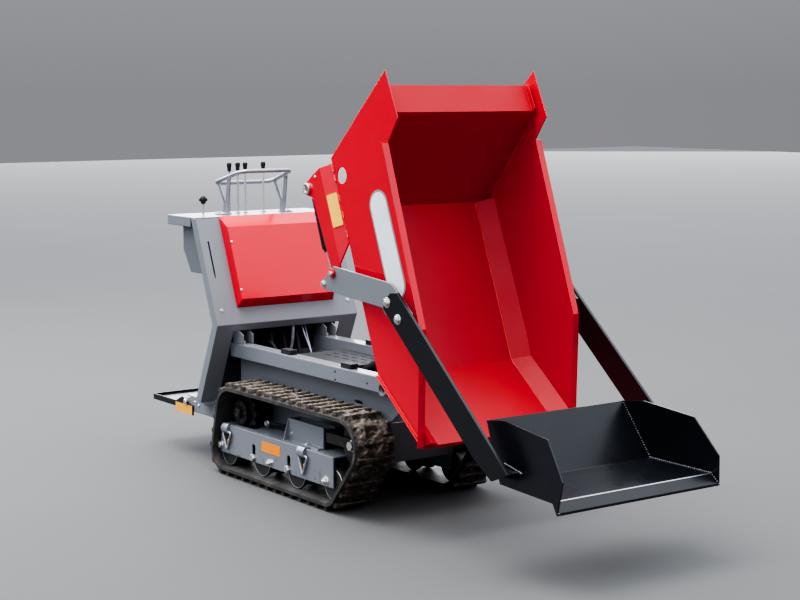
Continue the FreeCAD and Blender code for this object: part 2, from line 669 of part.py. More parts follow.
def idler_fork():
    """Fork that pushes the idler forward, with its screw and seat in the tension box."""
    low, high = around(IDLER_Z, FORK_BAR * 0.5)
    near = IDLER_HALF_WIDTH + FORK_CLEARANCE
    cross_front_x = FORK_REAR_X + FORK_CROSS
    arms = []
    for y_low in (TENSION_MIDDLE - near - FORK_PLATE, TENSION_MIDDLE + near):
        y_high = y_low + FORK_PLATE
        arm = box(cross_front_x - FORK_LAP, IDLER_X + FORK_NOSE, y_low, y_high, low, high)
        arms.append(arm.cut(rod_y(IDLER_X, IDLER_Z, AXLE_RADIUS, y_low - 1.0, y_high + 1.0)))
    cross = box(FORK_REAR_X, cross_front_x, *around(TENSION_MIDDLE, near + FORK_PLATE), low, high)
    screw_start = V(TENSION_BOX_FRONT_X - TENSION_SCREW_TAIL, TENSION_MIDDLE, IDLER_Z)
    screw = rod_between(screw_start, V(FORK_REAR_X + FORK_LAP, TENSION_MIDDLE, IDLER_Z), TENSION_SCREW_RADIUS)
    seat_front_x = TENSION_BOX_FRONT_X + TENSION_BOX_SHEET
    seat = box(seat_front_x - TENSION_SEAT_LENGTH, seat_front_x, *around(TENSION_MIDDLE, TENSION_SEAT_HALF),
               TRACK_FRAME_TOP, IDLER_Z + TENSION_SEAT_RISE)
    return fuse(arms + [cross, screw, seat])


def chassis_rail():
    """Left rail: a square tube with a recess round the tip pin."""
    outer = RAIL_OUTER
    inner = RAIL_INNER
    low = RAIL_TOP - RAIL_HEIGHT
    shell = box(RAIL_REAR_X, RAIL_FRONT_X, inner, outer, low, RAIL_TOP)
    hollow = box(RAIL_REAR_X - 1.0, TIP_PIVOT_X - RAIL_PLUG, inner + RAIL_WALL, outer - RAIL_WALL,
                 low + RAIL_WALL, RAIL_TOP - RAIL_WALL)
    boss = rod_y(TIP_PIVOT_X, TIP_PIVOT_Z, EAR_RADIUS, TUB_OUTER, outer)
    bore = rod_y(TIP_PIVOT_X, TIP_PIVOT_Z, TIP_PIN_RADIUS, inner - 1.0, outer + 1.0)
    recess = rod_y(TIP_PIVOT_X, TIP_PIVOT_Z, TIP_PIN_RECESS_RADIUS,
                   outer - TIP_PIN_RECESS_DEPTH, outer + 1.0)
    hole_z = RAIL_TOP - RAIL_HOLE_DROP
    places = [(RAIL_HOLE_X, z) for z in around(hole_z, RAIL_HOLE_SPACING * 0.5)]
    places.append((RAIL_FRONT_HOLE_X, hole_z))
    outer_wall = (outer - RAIL_WALL - 1.0, outer + 1.0)
    holes = [rod_y(x, z, RAIL_HOLE_RADIUS, *outer_wall) for x, z in places]
    return fuse([shell.cut(hollow), boss]).cut([bore, recess] + holes)


def tub():
    """Welded tub between the tracks: side plates, floor, ends and cross member."""
    low = RAIL_TOP - RAIL_HEIGHT
    inner = TUB_INNER
    heel_x = TUB_REAR_X + TUB_HEEL
    heel_z = TUB_BOTTOM + TUB_HEEL
    side = prism((
        (TUB_REAR_X, low), (TUB_REAR_X, heel_z), (heel_x, TUB_BOTTOM), (TUB_NOSE_X, TUB_BOTTOM),
        (TUB_FRONT_LOW_X, TUB_FRONT_LOW_Z), (TUB_FRONT_TOP_X, TUB_FRONT_MID_Z), (RAIL_FRONT_X, low),
    ), inner, TUB_OUTER)
    slot_ends = around(TUB_SLOT_X, (TUB_SLOT_LENGTH - TUB_SLOT_WIDTH) * 0.5)
    slot = [box(*slot_ends, inner - 1.0, TUB_OUTER + 1.0, *around(TUB_SLOT_Z, TUB_SLOT_WIDTH * 0.5))]
    slot += [rod_y(x, TUB_SLOT_Z, TUB_SLOT_WIDTH * 0.5, inner - 1.0, TUB_OUTER + 1.0) for x in slot_ends]
    side = side.cut(slot)
    floor = box(heel_x, TUB_NOSE_X, -inner, inner, TUB_BOTTOM, TUB_BOTTOM + TUB_SHEET)
    rear = prism((
        (TUB_REAR_X, low), (TUB_REAR_X, heel_z), (heel_x, TUB_BOTTOM),
        (heel_x + TUB_SHEET, TUB_BOTTOM + TUB_SHEET),
        (TUB_REAR_X + TUB_SHEET, heel_z + TUB_SHEET), (TUB_REAR_X + TUB_SHEET, low),
    ), -inner, inner)
    nose = prism((
        (TUB_NOSE_X, TUB_BOTTOM), (TUB_FRONT_LOW_X, TUB_FRONT_LOW_Z),
        (TUB_FRONT_LOW_X - TUB_NOSE_SHEET, TUB_FRONT_LOW_Z), (TUB_NOSE_X - TUB_NOSE_SHEET, TUB_BOTTOM),
    ), -inner, inner)
    cross_front_x = TIP_BASE_X - CROSS_SETBACK
    cross = box(cross_front_x - CROSS_DEPTH, cross_front_x, -inner, inner,
                *around(TIP_BASE_Z, CROSS_HALF_HEIGHT))
    return fuse([side, mirrored(side), floor, rear, nose, cross])


def clevis_places():
    """Low y of the two plates beside the tip cylinder's eyes."""
    near = TIP_EYE_WIDTH * 0.5 + TIP_CLEVIS_GAP
    return near, (-near - TIP_CLEVIS_THICKNESS, near)


def cylinder_mount():
    """Ears and pin on the tub's cross member for the tip cylinder's base."""
    near, places = clevis_places()
    root_x = TIP_BASE_X - CROSS_SETBACK
    ears = []
    for y_low in places:
        y_high = y_low + TIP_CLEVIS_THICKNESS
        ears.append(prism((
            (root_x, TIP_BASE_Z - TIP_EAR_ROOT), (TIP_BASE_X, TIP_BASE_Z - TIP_EYE_RADIUS),
            (TIP_BASE_X, TIP_BASE_Z + TIP_EYE_RADIUS), (root_x, TIP_BASE_Z + TIP_EAR_ROOT),
        ), y_low, y_high))
        ears.append(rod_y(TIP_BASE_X, TIP_BASE_Z, TIP_EYE_RADIUS, y_low, y_high))
    reach = near + TIP_CLEVIS_THICKNESS + TIP_PIN_HEAD
    pin = rod_y(TIP_BASE_X, TIP_BASE_Z, TIP_CYLINDER_PIN_RADIUS, -reach, reach)
    return fuse(ears + [pin])


def tray():
    """Slotted tray between the rails."""
    plate = box(TRAY_REAR_X, TRAY_FRONT_X, -RAIL_INNER, RAIL_INNER, TRAY_TOP - TRAY_SHEET, TRAY_TOP)
    slots = []
    for row in TRAY_SLOT_ROWS:
        for station in range(TRAY_SLOT_COUNT):
            x = TRAY_REAR_X + TRAY_SLOT_PITCH * (station + 1)
            slots.append(box(x, x + TRAY_SLOT_LENGTH, row, row + TRAY_SLOT_WIDTH, TRAY_TOP - TRAY_SHEET - 1.0,
                             TRAY_TOP + 1.0))
    return plate.cut(slots)


def rubber_pads():
    """Buffers on the rails that the skip's beams rest on."""
    beam_bottom = TIP_PIVOT_Z - SKIP_PIVOT_N - UNDER_BEAM_DEPTH
    sides = around(RAIL_MIDDLE, PAD_HALF_WIDTH)
    pads = [box(station, station + PAD_LENGTH, *sides, RAIL_TOP, beam_bottom - SEAT_GAP)
            for station in PAD_STATIONS]
    return both_sides(Part.makeCompound(pads))


def tip_pins():
    inner_end = EAR_INNER - TIP_PIN_END
    outer_end = RAIL_OUTER - TIP_PIN_RECESS_DEPTH
    return both_sides(rod_y(TIP_PIVOT_X, TIP_PIVOT_Z, TIP_PIN_RADIUS, inner_end, outer_end))


def ramp_point(along, above):
    """Point at a distance up the ramp from its fold, and square to it."""
    cosine = RAMP_RUN / RAMP_LENGTH
    sine = SKIP_LIP_N / RAMP_LENGTH
    return SKIP_FLOOR_LENGTH + along * cosine - above * sine, along * sine + above * cosine


def edge_flange(start, end, width):
    """Flange that stands out from the left side plate, to the right of an edge's run."""
    u1, n1 = start
    u2, n2 = end
    length = math.hypot(u2 - u1, n2 - n1)
    du = (n2 - n1) / length * SKIP_SHEET
    dn = -(u2 - u1) / length * SKIP_SHEET
    outline = (start, end, (u2 + du, n2 + dn), (u1 + du, n1 + dn))
    return prism(outline, SKIP_HALF_WIDTH, SKIP_HALF_WIDTH + width)


def skip_side():
    """Left side plate of the skip with its edge flanges and round hole."""
    fold = (SKIP_FLOOR_LENGTH, 0.0)
    lip = (SKIP_LIP_U, SKIP_LIP_N)
    bend = (SKIP_BEND_U, SKIP_BEND_N)
    shoulder = (SKIP_SHOULDER_U, SKIP_SHOULDER_N)
    ear = (SKIP_EAR_U, SKIP_EAR_N)
    ear_tip = (SKIP_EAR_TIP_U, SKIP_EAR_TIP_N)
    outline = ((0.0, 0.0), fold, lip, bend, shoulder, ear, ear_tip)
    inner = SKIP_HALF_WIDTH - SKIP_SHEET
    plate = prism(outline, inner, SKIP_HALF_WIDTH)
    hole = rod_y(LIFT_HOLE_U, LIFT_HOLE_N, LIFT_HOLE_RADIUS, inner - 1.0, SKIP_HALF_WIDTH + 1.0)
    flanges = [
        edge_flange(shoulder, bend, SKIP_FLANGE), edge_flange(bend, lip, SKIP_FLANGE),
        edge_flange(lip, fold, SKIP_LEDGE),
    ]
    return fuse([plate.cut(hole)] + flanges)


def skip_floor():
    """Floor and ramp of the skip, one sheet with its front edge turned down."""
    t = SKIP_SHEET
    half = SKIP_HALF_WIDTH - SKIP_SHEET
    outline = (
        (SKIP_REAR_FOOT_U - t, 0.0), (SKIP_FLOOR_LENGTH, 0.0), ramp_point(RAMP_LENGTH - t, 0.0),
        ramp_point(RAMP_LENGTH - t, -SKIP_LIP_DROP), ramp_point(RAMP_LENGTH, -SKIP_LIP_DROP),
        ramp_point(RAMP_LENGTH, t), (SKIP_FLOOR_LENGTH, t), (SKIP_REAR_FOOT_U - t, t),
    )
    return prism(outline, -half, half)


def skip_rear_wall():
    """Sloping rear wall with a flat shelf behind its top, and a tab at each end of the shelf."""
    t = SKIP_SHEET
    half = SKIP_HALF_WIDTH - SKIP_SHEET
    shelf_u = SKIP_REAR_TOP_U - SKIP_REAR_SHELF
    shelf_n = SKIP_REAR_TOP_N - SKIP_REAR_SHELF_DROP
    outline = (
        (SKIP_REAR_FOOT_U, t), (SKIP_REAR_TOP_U, SKIP_REAR_TOP_N), (shelf_u, shelf_n),
        (shelf_u, shelf_n - t), (SKIP_REAR_TOP_U - t, SKIP_REAR_TOP_N - t), (SKIP_REAR_FOOT_U - t, t),
    )
    tab_outline = (
        (SKIP_REAR_TOP_U, SKIP_REAR_TOP_N), (SKIP_REAR_TOP_U - t, SKIP_REAR_TOP_N + SKIP_TAB_RISE),
        (shelf_u + t, shelf_n + SKIP_TAB_RISE), (shelf_u, shelf_n),
    )
    tab = prism(tab_outline, half - SKIP_TAB_INSET - t, half - SKIP_TAB_INSET)
    return fuse([prism(outline, -half, half), tab, mirrored(tab)])


def skip_corner_strips():
    """Welded strips that bevel the corners between floor, ramp and sides."""
    t = SKIP_SHEET
    half = SKIP_HALF_WIDTH - SKIP_SHEET
    corners = [V(0, half - SKIP_STRIP_FOOT, 0), V(0, half, 0), V(0, half, SKIP_STRIP_RISE)]
    section = Part.Face(Part.makePolygon(corners + corners[:1]))
    floor_section = section.translated(V(SKIP_REAR_FOOT_U, 0, t))
    floor_strip = floor_section.extrude(V(SKIP_FLOOR_LENGTH - SKIP_REAR_FOOT_U, 0, 0))
    end_u, end_n = ramp_point(RAMP_LENGTH, t)
    ramp_run = V(end_u - SKIP_FLOOR_LENGTH, 0, end_n - t)
    ramp_section = section.translated(V(SKIP_FLOOR_LENGTH, 0, t))
    ramp_strip = ramp_section.extrude(ramp_run * ((RAMP_LENGTH - t) / RAMP_LENGTH))
    behind = SKIP_REAR_FOOT_U - SKIP_REAR_TOP_U
    wall = prism((
        (SKIP_REAR_FOOT_U, t), (SKIP_REAR_TOP_U, SKIP_REAR_TOP_N),
        (SKIP_REAR_TOP_U - behind, SKIP_REAR_TOP_N),
        (SKIP_REAR_TOP_U - behind, 0.0), (SKIP_REAR_FOOT_U, 0.0),
    ), -half, half)
    return both_sides(fuse([floor_strip, ramp_strip]).cut(wall))


def skip_underframe():
    """Two channels under the floor, with ears for the tip pins and a clevis for the cylinder."""
    inner, outer = around(RAIL_MIDDLE, UNDER_BEAM_WIDTH * 0.5)
    wall = UNDER_BEAM_WALL
    depth = UNDER_BEAM_DEPTH
    nose_run, nose_rise = UNDER_BEAM_NOSE
    tail_run, tail_rise = UNDER_BEAM_TAIL
    beam = prism((
        (UNDER_BEAM_REAR_U, 0.0), (UNDER_BEAM_FRONT_U, 0.0), (UNDER_BEAM_FRONT_U, nose_rise - depth),
        (UNDER_BEAM_FRONT_U - nose_run, -depth), (UNDER_BEAM_REAR_U + tail_run, -depth),
        (UNDER_BEAM_REAR_U, tail_rise - depth),
    ), inner, outer)
    beam = beam.cut(box(UNDER_BEAM_REAR_U - 1.0, UNDER_BEAM_FRONT_U + 1.0, inner - 1.0, outer - wall,
                        wall - depth, -wall))
    ear_top_n = (EAR_TOP_FRONT_U - SKIP_FLOOR_LENGTH) * SKIP_LIP_N / RAMP_RUN
    ear_outline = (
        (EAR_TOP_REAR_U, 0.0), (SKIP_FLOOR_LENGTH, 0.0), (EAR_TOP_FRONT_U, ear_top_n),
        (SKIP_PIVOT_U + EAR_RADIUS, SKIP_PIVOT_N), (SKIP_PIVOT_U - EAR_RADIUS, SKIP_PIVOT_N),
    )
    ear_outer = EAR_INNER + EAR_THICKNESS
    ear = fuse([prism(ear_outline, EAR_INNER, ear_outer),
                rod_y(SKIP_PIVOT_U, SKIP_PIVOT_N, EAR_RADIUS, EAR_INNER, ear_outer)])
    ear = ear.cut(rod_y(SKIP_PIVOT_U, SKIP_PIVOT_N, TIP_PIN_RADIUS + RUNNING_GAP,
                        EAR_INNER - 1.0, ear_outer + 1.0))
    cross_ends = (UNDER_CROSS_U, UNDER_CROSS_U + UNDER_CROSS_LENGTH)
    cross = box(*cross_ends, wall - outer, outer - wall, -UNDER_CROSS_DEPTH, -wall)
    middle_top = box(*cross_ends, -inner, inner, -wall, 0.0)
    clevis = []
    for y_low in clevis_places()[1]:
        clevis.append(prism((
            (TIP_EYE_U - TIP_CLEVIS_FOOT, 0.0), (TIP_EYE_U + TIP_CLEVIS_FOOT, 0.0),
            (TIP_EYE_U + TIP_EYE_RADIUS, TIP_EYE_N), (TIP_EYE_U - TIP_EYE_RADIUS, TIP_EYE_N),
        ), y_low, y_low + TIP_CLEVIS_THICKNESS))
        clevis.append(disc_y(TIP_EYE_U, TIP_EYE_N, TIP_EYE_RADIUS, y_low, TIP_CLEVIS_THICKNESS))
    return fuse([beam, mirrored(beam), ear, mirrored(ear), cross, middle_top] + clevis)


def sloping_slab(corners, shift):
    """A slab between a flat outline of points and the same outline shifted."""
    moved = [corner + shift for corner in corners]
    loops = [corners, moved]
    for index in range(len(corners)):
        following = (index + 1) % len(corners)
        loops.append([corners[index], corners[following], moved[following], moved[index]])
    faces = [Part.Face(Part.makePolygon(loop + loop[:1])) for loop in loops]
    return Part.Solid(Part.Shell(faces))


def arm_bracket():
    """Left bracket that carries the lift cylinder's base and the arm's pivot."""
    sheet = BRACKET_SHEET
    outer_low = BRACKET_OUTER - sheet
    lobe = disc_y(LIFT_BASE_U, LIFT_BASE_N, BRACKET_LOBE, outer_low, sheet)
    outer = prism(BRACKET_OUTLINE, outer_low, BRACKET_OUTER)
    front_inner_u, front_outer_u = BRACKET_SHELF_FRONT
    root = SKIP_HALF_WIDTH - SKIP_SHEET * 0.5
    shelf = sloping_slab([
        V(BRACKET_REAR_U, root, 0.0), V(front_inner_u, root, 0.0),
        V(front_outer_u, BRACKET_OUTER, BRACKET_SHELF_N), V(BRACKET_REAR_U, BRACKET_OUTER, BRACKET_SHELF_N),
    ], V(0, -sheet, 0))
    inner = prism(BRACKET_INNER_OUTLINE, BRACKET_INNER, BRACKET_INNER + sheet)
    inner_lobe = disc_y(LIFT_BASE_U, LIFT_BASE_N, BRACKET_LOBE, BRACKET_INNER, sheet)
    web_rear_u = BRACKET_INNER_OUTLINE[0][0]
    web_front_u = BRACKET_INNER_OUTLINE[1][0]
    web = box(web_rear_u, web_front_u, BRACKET_INNER, BRACKET_OUTER, BRACKET_SHELF_N - sheet, BRACKET_SHELF_N)
    base_pin = rod_y(LIFT_BASE_U, LIFT_BASE_N, LIFT_PIN_RADIUS, BRACKET_INNER, BRACKET_OUTER + sheet)
    pin_end = PLATE_INNER + PLATE_THICKNESS + 1.0
    arm_pin = rod_y(ARM_PIVOT_U, ARM_PIVOT_N, ARM_PIN_RADIUS, outer_low - ARM_PIN_HEAD, pin_end)
    head = disc_y(ARM_PIVOT_U, ARM_PIVOT_N, ARM_PIN_HEAD_RADIUS, pin_end, ARM_PIN_HEAD)
    return fuse([outer, lobe, shelf, inner, inner_lobe, web, base_pin, arm_pin, head])


def arm_plate():
    """Left grey lift plate between the pivot and the arm bar."""
    outer = PLATE_INNER + PLATE_THICKNESS
    bore = rod_y(0.0, 0.0, ARM_PIN_RADIUS + RUNNING_GAP, PLATE_INNER - 1.0, outer + 1.0)
    return prism(PLATE_OUTLINE, PLATE_INNER, outer).cut(bore)


def arm_bar():
    """Left arm bar down to the shovel, with its two bolts."""
    y_low = PLATE_INNER + PLATE_THICKNESS
    y_high = y_low + BAR_THICKNESS
    bolts = [disc_y(x, z, BAR_BOLT_RADIUS, y_high, BAR_BOLT_HEAD) for x, z in BAR_BOLTS]
    return fuse([prism(BAR_OUTLINE, y_low, y_high)] + bolts)


def shovel_half(x, z):
    return SHOVEL_HALF_AT_PIVOT + SHOVEL_FLARE_X * x + SHOVEL_FLARE_Z * z


def flared_block(inset):
    """A block whose two sides flare as the shovel's do, set in by an inset."""
    x_low, x_high, z_low, z_high = FLARE_REACH
    ring = ((x_low, z_low), (x_high, z_low), (x_high, z_high), (x_low, z_high))
    left = [V(x, shovel_half(x, z) - inset, z) for x, z in ring]
    right = [V(point.x, -point.y, point.z) for point in left]
    loops = [left, right]
    for index in range(4):
        following = (index + 1) % 4
        loops.append([right[index], left[index], left[following], right[following]])
    faces = [Part.Face(Part.makePolygon(loop + loop[:1])) for loop in loops]
    return Part.Solid(Part.Shell(faces))


def shovel():
    """The shovel: side cheeks, back, floor and bent blade strip."""
    reach = SKIP_HALF_WIDTH * 1.3
    outer = prism(SHOVEL_PROFILE, -reach, reach).common(flared_block(0.0))
    inner = prism(SHOVEL_CAVITY, -reach, reach).common(flared_block(SHOVEL_SHEET))
    return outer.cut(inner)


def shovel_gussets():
    """Plates that join each arm bar to the shovel's cheek."""
    plate = prism(GUSSET_OUTLINE, GUSSET_INNER, PLATE_INNER + PLATE_THICKNESS)
    return both_sides(plate.cut(flared_block(0.0)))


def cylinder_parts(start, end, centre_y, spec):
    """Barrel and rod of a cylinder between two pins at the same y."""
    base = V(start[0], centre_y, start[1])
    eye = V(end[0], centre_y, end[1])
    along = (eye - base).normalize()
    half = spec["width"] * 0.5
    neck_start = along * (spec["eye_radius"] * EYE_SHARE)
    barrel_start = base + along * (spec["eye_radius"] + BARREL_NECK)
    barrel_end = base + along * spec["barrel_length"]
    gland_end = barrel_end + along * GLAND_LENGTH
    barrel = fuse([
        rod_between(base + neck_start, barrel_start, half * NECK_SHARE),
        rod_between(barrel_start, barrel_end, spec["barrel_radius"]),
        rod_between(barrel_end, gland_end, spec["barrel_radius"] * GLAND_SHARE),
        rod_y(start[0], start[1], spec["eye_radius"], centre_y - half, centre_y + half),
    ])
    base_bore = rod_y(start[0], start[1], spec["base_pin"] + RUNNING_GAP, *around(centre_y, spec["width"]))
    room_start = barrel_start + along * BARREL_END_WALL
    rod_room = rod_between(room_start, gland_end + along, spec["rod_radius"] + RUNNING_GAP)
    rod = fuse([
        rod_between(room_start + along * spec["tail_room"], eye - neck_start, spec["rod_radius"]),
        rod_y(end[0], end[1], spec["eye_radius"], centre_y - half, centre_y + half),
    ])
    return barrel.cut([base_bore, rod_room]), rod


TIP_SPEC = {
    "width": TIP_EYE_WIDTH, "barrel_length": TIP_BARREL_LENGTH, "barrel_radius": TIP_BARREL_RADIUS,
    "eye_radius": TIP_EYE_RADIUS, "base_pin": TIP_CYLINDER_PIN_RADIUS, "rod_radius": TIP_ROD_RADIUS,
    "tail_room": TIP_STROKE_ROOM,
}
LIFT_SPEC = {
    "width": LIFT_EYE_WIDTH, "barrel_length": LIFT_BARREL_LENGTH, "barrel_radius": LIFT_BARREL_RADIUS,
    "eye_radius": LIFT_EYE_RADIUS, "base_pin": LIFT_PIN_RADIUS, "rod_radius": LIFT_ROD_RADIUS,
    "tail_room": LIFT_STROKE_ROOM,
}


def lift_pin_stub(rod):
    x, z = skip_point(LIFT_EYE_U, LIFT_EYE_N)
    stub = rod_y(x, z, LIFT_PIN_RADIUS, LIFT_CENTRE, PLATE_INNER - 1.0)
    return fuse([rod, stub])


def face_point(distance, y, above):
    """Point on the console's sloping face: distance up from the knee, y, and height off it."""
    slope = V(CONSOLE_BROW_X - CONSOLE_KNEE_X, 0, CONSOLE_FACE_RISE).normalize()
    outward = V(slope.z, 0, -slope.x)
    return V(CONSOLE_KNEE_X, y, CONSOLE_KNEE_Z) + slope * distance + outward * above


def console_panel():
    """Folded front panel: sloping face, knee and two legs, with side strips."""
    t = CONSOLE_SHEET
    brow = V(CONSOLE_BROW_X, 0, CONSOLE_TOP - t)
    knee = V(CONSOLE_KNEE_X, 0, CONSOLE_KNEE_Z)
    foot = V(CONSOLE_FOOT_X, 0, CONSOLE_FOOT_Z)
    back = V(-CONSOLE_RETURN, 0, 0)
    outline = [(p.x, p.z) for p in (brow, knee, foot, foot + back, knee + back, brow + back)]
    solid = prism(outline, -CONSOLE_HALF, CONSOLE_HALF)
    front_corners = (brow + V(0, 0, t), knee, foot - V(0, 0, t))
    back_corners = (foot + back - V(t, 0, t), knee + back - V(t, 0, 0), brow + back - V(t, 0, -t))
    hollow_outline = [(p.x - t, p.z) for p in front_corners + back_corners]
    hollow = prism(hollow_outline, -CONSOLE_HALF + t, CONSOLE_HALF - t)
    gap_half = CONSOLE_HALF - LEG_WIDTH
    gap = box(CONSOLE_FOOT_X - CONSOLE_RETURN * 2.0, CONSOLE_KNEE_X + CONSOLE_RETURN, -gap_half, gap_half,
              CONSOLE_FOOT_Z - 1.0, CONSOLE_KNEE_Z - KNEE_BAND)
    slot_sides = around(FACE_SLOT_Y, FACE_SLOT_WIDTH * 0.5)
    slot = sloping_slab([
        face_point(FACE_SLOT_LOW, slot_sides[0], 1.0), face_point(FACE_SLOT_HIGH, slot_sides[0], 1.0),
        face_point(FACE_SLOT_HIGH, slot_sides[1], 1.0), face_point(FACE_SLOT_LOW, slot_sides[1], 1.0),
    ], V(-t * 2.0, 0, 0))
    return solid.cut([hollow, gap, slot, mirrored(slot)])


def console_side_panels():
    """Side plates behind the front panel, drawn in to the engine's width lower down."""
    t = CONSOLE_SHEET
    half = CONSOLE_HALF - SIDE_PANEL_INSET
    waist = ENGINE_HALF + ENGINE_ROOM
    top = CONSOLE_TOP - t
    rear_low = SIDE_PANEL_LOW_Z + SIDE_PANEL_TAPER_Z
    front_at_low = panel_back_x(SIDE_PANEL_LOW_Z)
    upper = prism((
        (panel_back_x(top), top), (CONSOLE_REAR_X, top), (CONSOLE_REAR_X, rear_low),
        (CONSOLE_REAR_X + SIDE_PANEL_TAPER_X, SIDE_PANEL_LOW_Z), (front_at_low, SIDE_PANEL_LOW_Z),
    ), half - t, half)
    shelf = prism((
        (CONSOLE_REAR_X, rear_low), (CONSOLE_REAR_X + SIDE_PANEL_TAPER_X, SIDE_PANEL_LOW_Z),
        (front_at_low, SIDE_PANEL_LOW_Z), (front_at_low, SIDE_PANEL_LOW_Z + t),
        (CONSOLE_REAR_X + SIDE_PANEL_TAPER_X + t * 0.5, SIDE_PANEL_LOW_Z + t),
        (CONSOLE_REAR_X, rear_low + t * 1.5),
    ), waist - t, half)
    lower = prism((
        (CONSOLE_REAR_X, rear_low), (CONSOLE_REAR_X + SIDE_PANEL_TAPER_X, SIDE_PANEL_LOW_Z),
        (front_at_low, SIDE_PANEL_LOW_Z), (panel_back_x(CONSOLE_KNEE_Z), CONSOLE_KNEE_Z),
        (CONSOLE_REAR_X, CONSOLE_KNEE_Z),
    ), waist - t, waist)
    return both_sides(fuse([upper, shelf, lower]))


def panel_back_x(z):
    """Rear edge of the front panel's side strips at a height above the knee."""
    share = (z - CONSOLE_KNEE_Z) / (CONSOLE_TOP - CONSOLE_SHEET - CONSOLE_KNEE_Z)
    return CONSOLE_KNEE_X + (CONSOLE_BROW_X - CONSOLE_KNEE_X) * share - CONSOLE_RETURN


def console_rear_panel():
    """Rear plate, wide under the top plate and narrow over the engine."""
    t = CONSOLE_SHEET
    half = CONSOLE_HALF - SIDE_PANEL_INSET
    waist = ENGINE_HALF + ENGINE_ROOM
    step_z = SIDE_PANEL_LOW_Z + SIDE_PANEL_TAPER_Z
    wide = box(CONSOLE_REAR_X - t, CONSOLE_REAR_X, -half, half, step_z, CONSOLE_TOP - t)
    narrow = box(CONSOLE_REAR_X - t, CONSOLE_REAR_X, -waist, waist, CONSOLE_KNEE_Z - t, step_z)
    return fuse([wide, narrow])


def console_floor():
    """Plate under the engine, from the front knee to the rear panel."""
    waist = ENGINE_HALF + ENGINE_ROOM
    plate = box(CONSOLE_REAR_X, CONSOLE_KNEE_X - CONSOLE_RETURN, -waist, waist,
                CONSOLE_KNEE_Z - CONSOLE_SHEET, CONSOLE_KNEE_Z)
    lip = box(CONSOLE_EAR_REAR_X, CONSOLE_KNEE_X - CONSOLE_RETURN, -RAIL_OUTER, RAIL_OUTER,
              CONSOLE_KNEE_Z - CONSOLE_SHEET, CONSOLE_KNEE_Z)
    return fuse([plate, lip])


def console_top():
    """Top plate with a turned-down lip at the rear and sides."""
    t = CONSOLE_SHEET
    half = CONSOLE_HALF
    plate = box(TOP_REAR_X, CONSOLE_BROW_X, -half, half, CONSOLE_TOP - t, CONSOLE_TOP)
    rear = box(TOP_REAR_X, TOP_REAR_X + t, -half, half, CONSOLE_TOP - TOP_LIP, CONSOLE_TOP - t)
    side = box(TOP_REAR_X, CONSOLE_BROW_X - CONSOLE_RETURN - 2.0, half - t, half,
               CONSOLE_TOP - TOP_LIP, CONSOLE_TOP - t)
    return fuse([plate, rear, side, mirrored(side)])


def hood():
    """Raised cover on the sloping face, with bevelled edges, hollow inside."""
    def block(inset):
        rings = []
        low = HOOD_LOW + inset
        high = HOOD_HIGH - inset
        half = HOOD_HALF - inset
        crown = (low + HOOD_FOOT_RUN, high - HOOD_BROW_RUN, half - HOOD_SIDE_RUN)
        for (bottom, top, width), depth in (((low, high, half), 0.0), (crown, HOOD_DEPTH - inset)):
            corners = [face_point(bottom, -width, depth), face_point(bottom, width, depth),
                       face_point(top, width, depth), face_point(top, -width, depth)]
            rings.append(Part.makePolygon(corners + corners[:1]))
        return Part.makeLoft(rings, True, True)

    return block(0.0).cut(block(CONSOLE_SHEET))


def console_ears():
    """Pairs of upright plates that carry the console on the rails."""
    top = CONSOLE_KNEE_Z - CONSOLE_SHEET
    outline = (
        (CONSOLE_EAR_REAR_X, RAIL_TOP), (CONSOLE_EAR_FRONT_X, RAIL_TOP),
        (CONSOLE_EAR_FRONT_X, CONSOLE_KNEE_Z - CONSOLE_EAR_SHOULDER),
        (CONSOLE_KNEE_X - CONSOLE_EAR_NECK, CONSOLE_KNEE_Z - CONSOLE_EAR_NECK_DROP),
        (CONSOLE_KNEE_X - CONSOLE_EAR_SETBACK, top), (CONSOLE_EAR_REAR_X, top),
    )
    half = CONSOLE_EAR_THICKNESS * 0.5
    middles = around(RAIL_MIDDLE, CONSOLE_EAR_OFFSET)
    ears = [prism(outline, *around(middle, half)) for middle in middles]
    return both_sides(Part.makeCompound(ears))


def engine():
    return box(ENGINE_REAR_X, ENGINE_FRONT_X, -ENGINE_HALF, ENGINE_HALF,
               CONSOLE_KNEE_Z, CONSOLE_KNEE_Z + ENGINE_HEIGHT)


def handrail():
    """Closed loop of bent tube on two forked posts with their foot plates."""
    front_z = CONSOLE_TOP + LOOP_FRONT_RISE
    rear_z = CONSOLE_TOP + LOOP_REAR_RISE
    loop = bent_tube([
        V(LOOP_REAR_X, -LOOP_REAR_HALF, rear_z), V(LOOP_FRONT_X, -LOOP_FRONT_HALF, front_z),
        V(LOOP_FRONT_X, LOOP_FRONT_HALF, front_z), V(LOOP_REAR_X, LOOP_REAR_HALF, rear_z),
    ], LOOP_BEND, RAIL_TUBE_RADIUS, closed=True)
    outline = [(POST_BASE_X + x, CONSOLE_TOP + z) for x, z in POST_OUTLINE]
    post = prism(outline, POST_HALF - POST_THICKNESS, POST_HALF)
    foot = box(*around(POST_BASE_X, POST_FOOT_HALF), POST_HALF - POST_THICKNESS, POST_HALF + POST_FOOT_WIDTH,
               CONSOLE_TOP, CONSOLE_TOP + POST_FOOT_PLATE)
    return fuse([loop, post, mirrored(post), foot, mirrored(foot)])


def star_knob(x, y, top):
    """Round knob with notches round its rim."""
    knob = Part.makeCylinder(KNOB_RADIUS, KNOB_DEPTH, V(x, y, top - KNOB_DEPTH))
    notches = []
    for index in range(KNOB_LOBES):
        angle = 2 * math.pi * index / KNOB_LOBES
        rim = V(KNOB_RADIUS * math.cos(angle), KNOB_RADIUS * math.sin(angle), -KNOB_DEPTH - 1.0)
        place = V(x, y, top) + rim
        notches.append(Part.makeCylinder(KNOB_NOTCH, KNOB_DEPTH + 2.0, place))
    return knob.cut(notches)


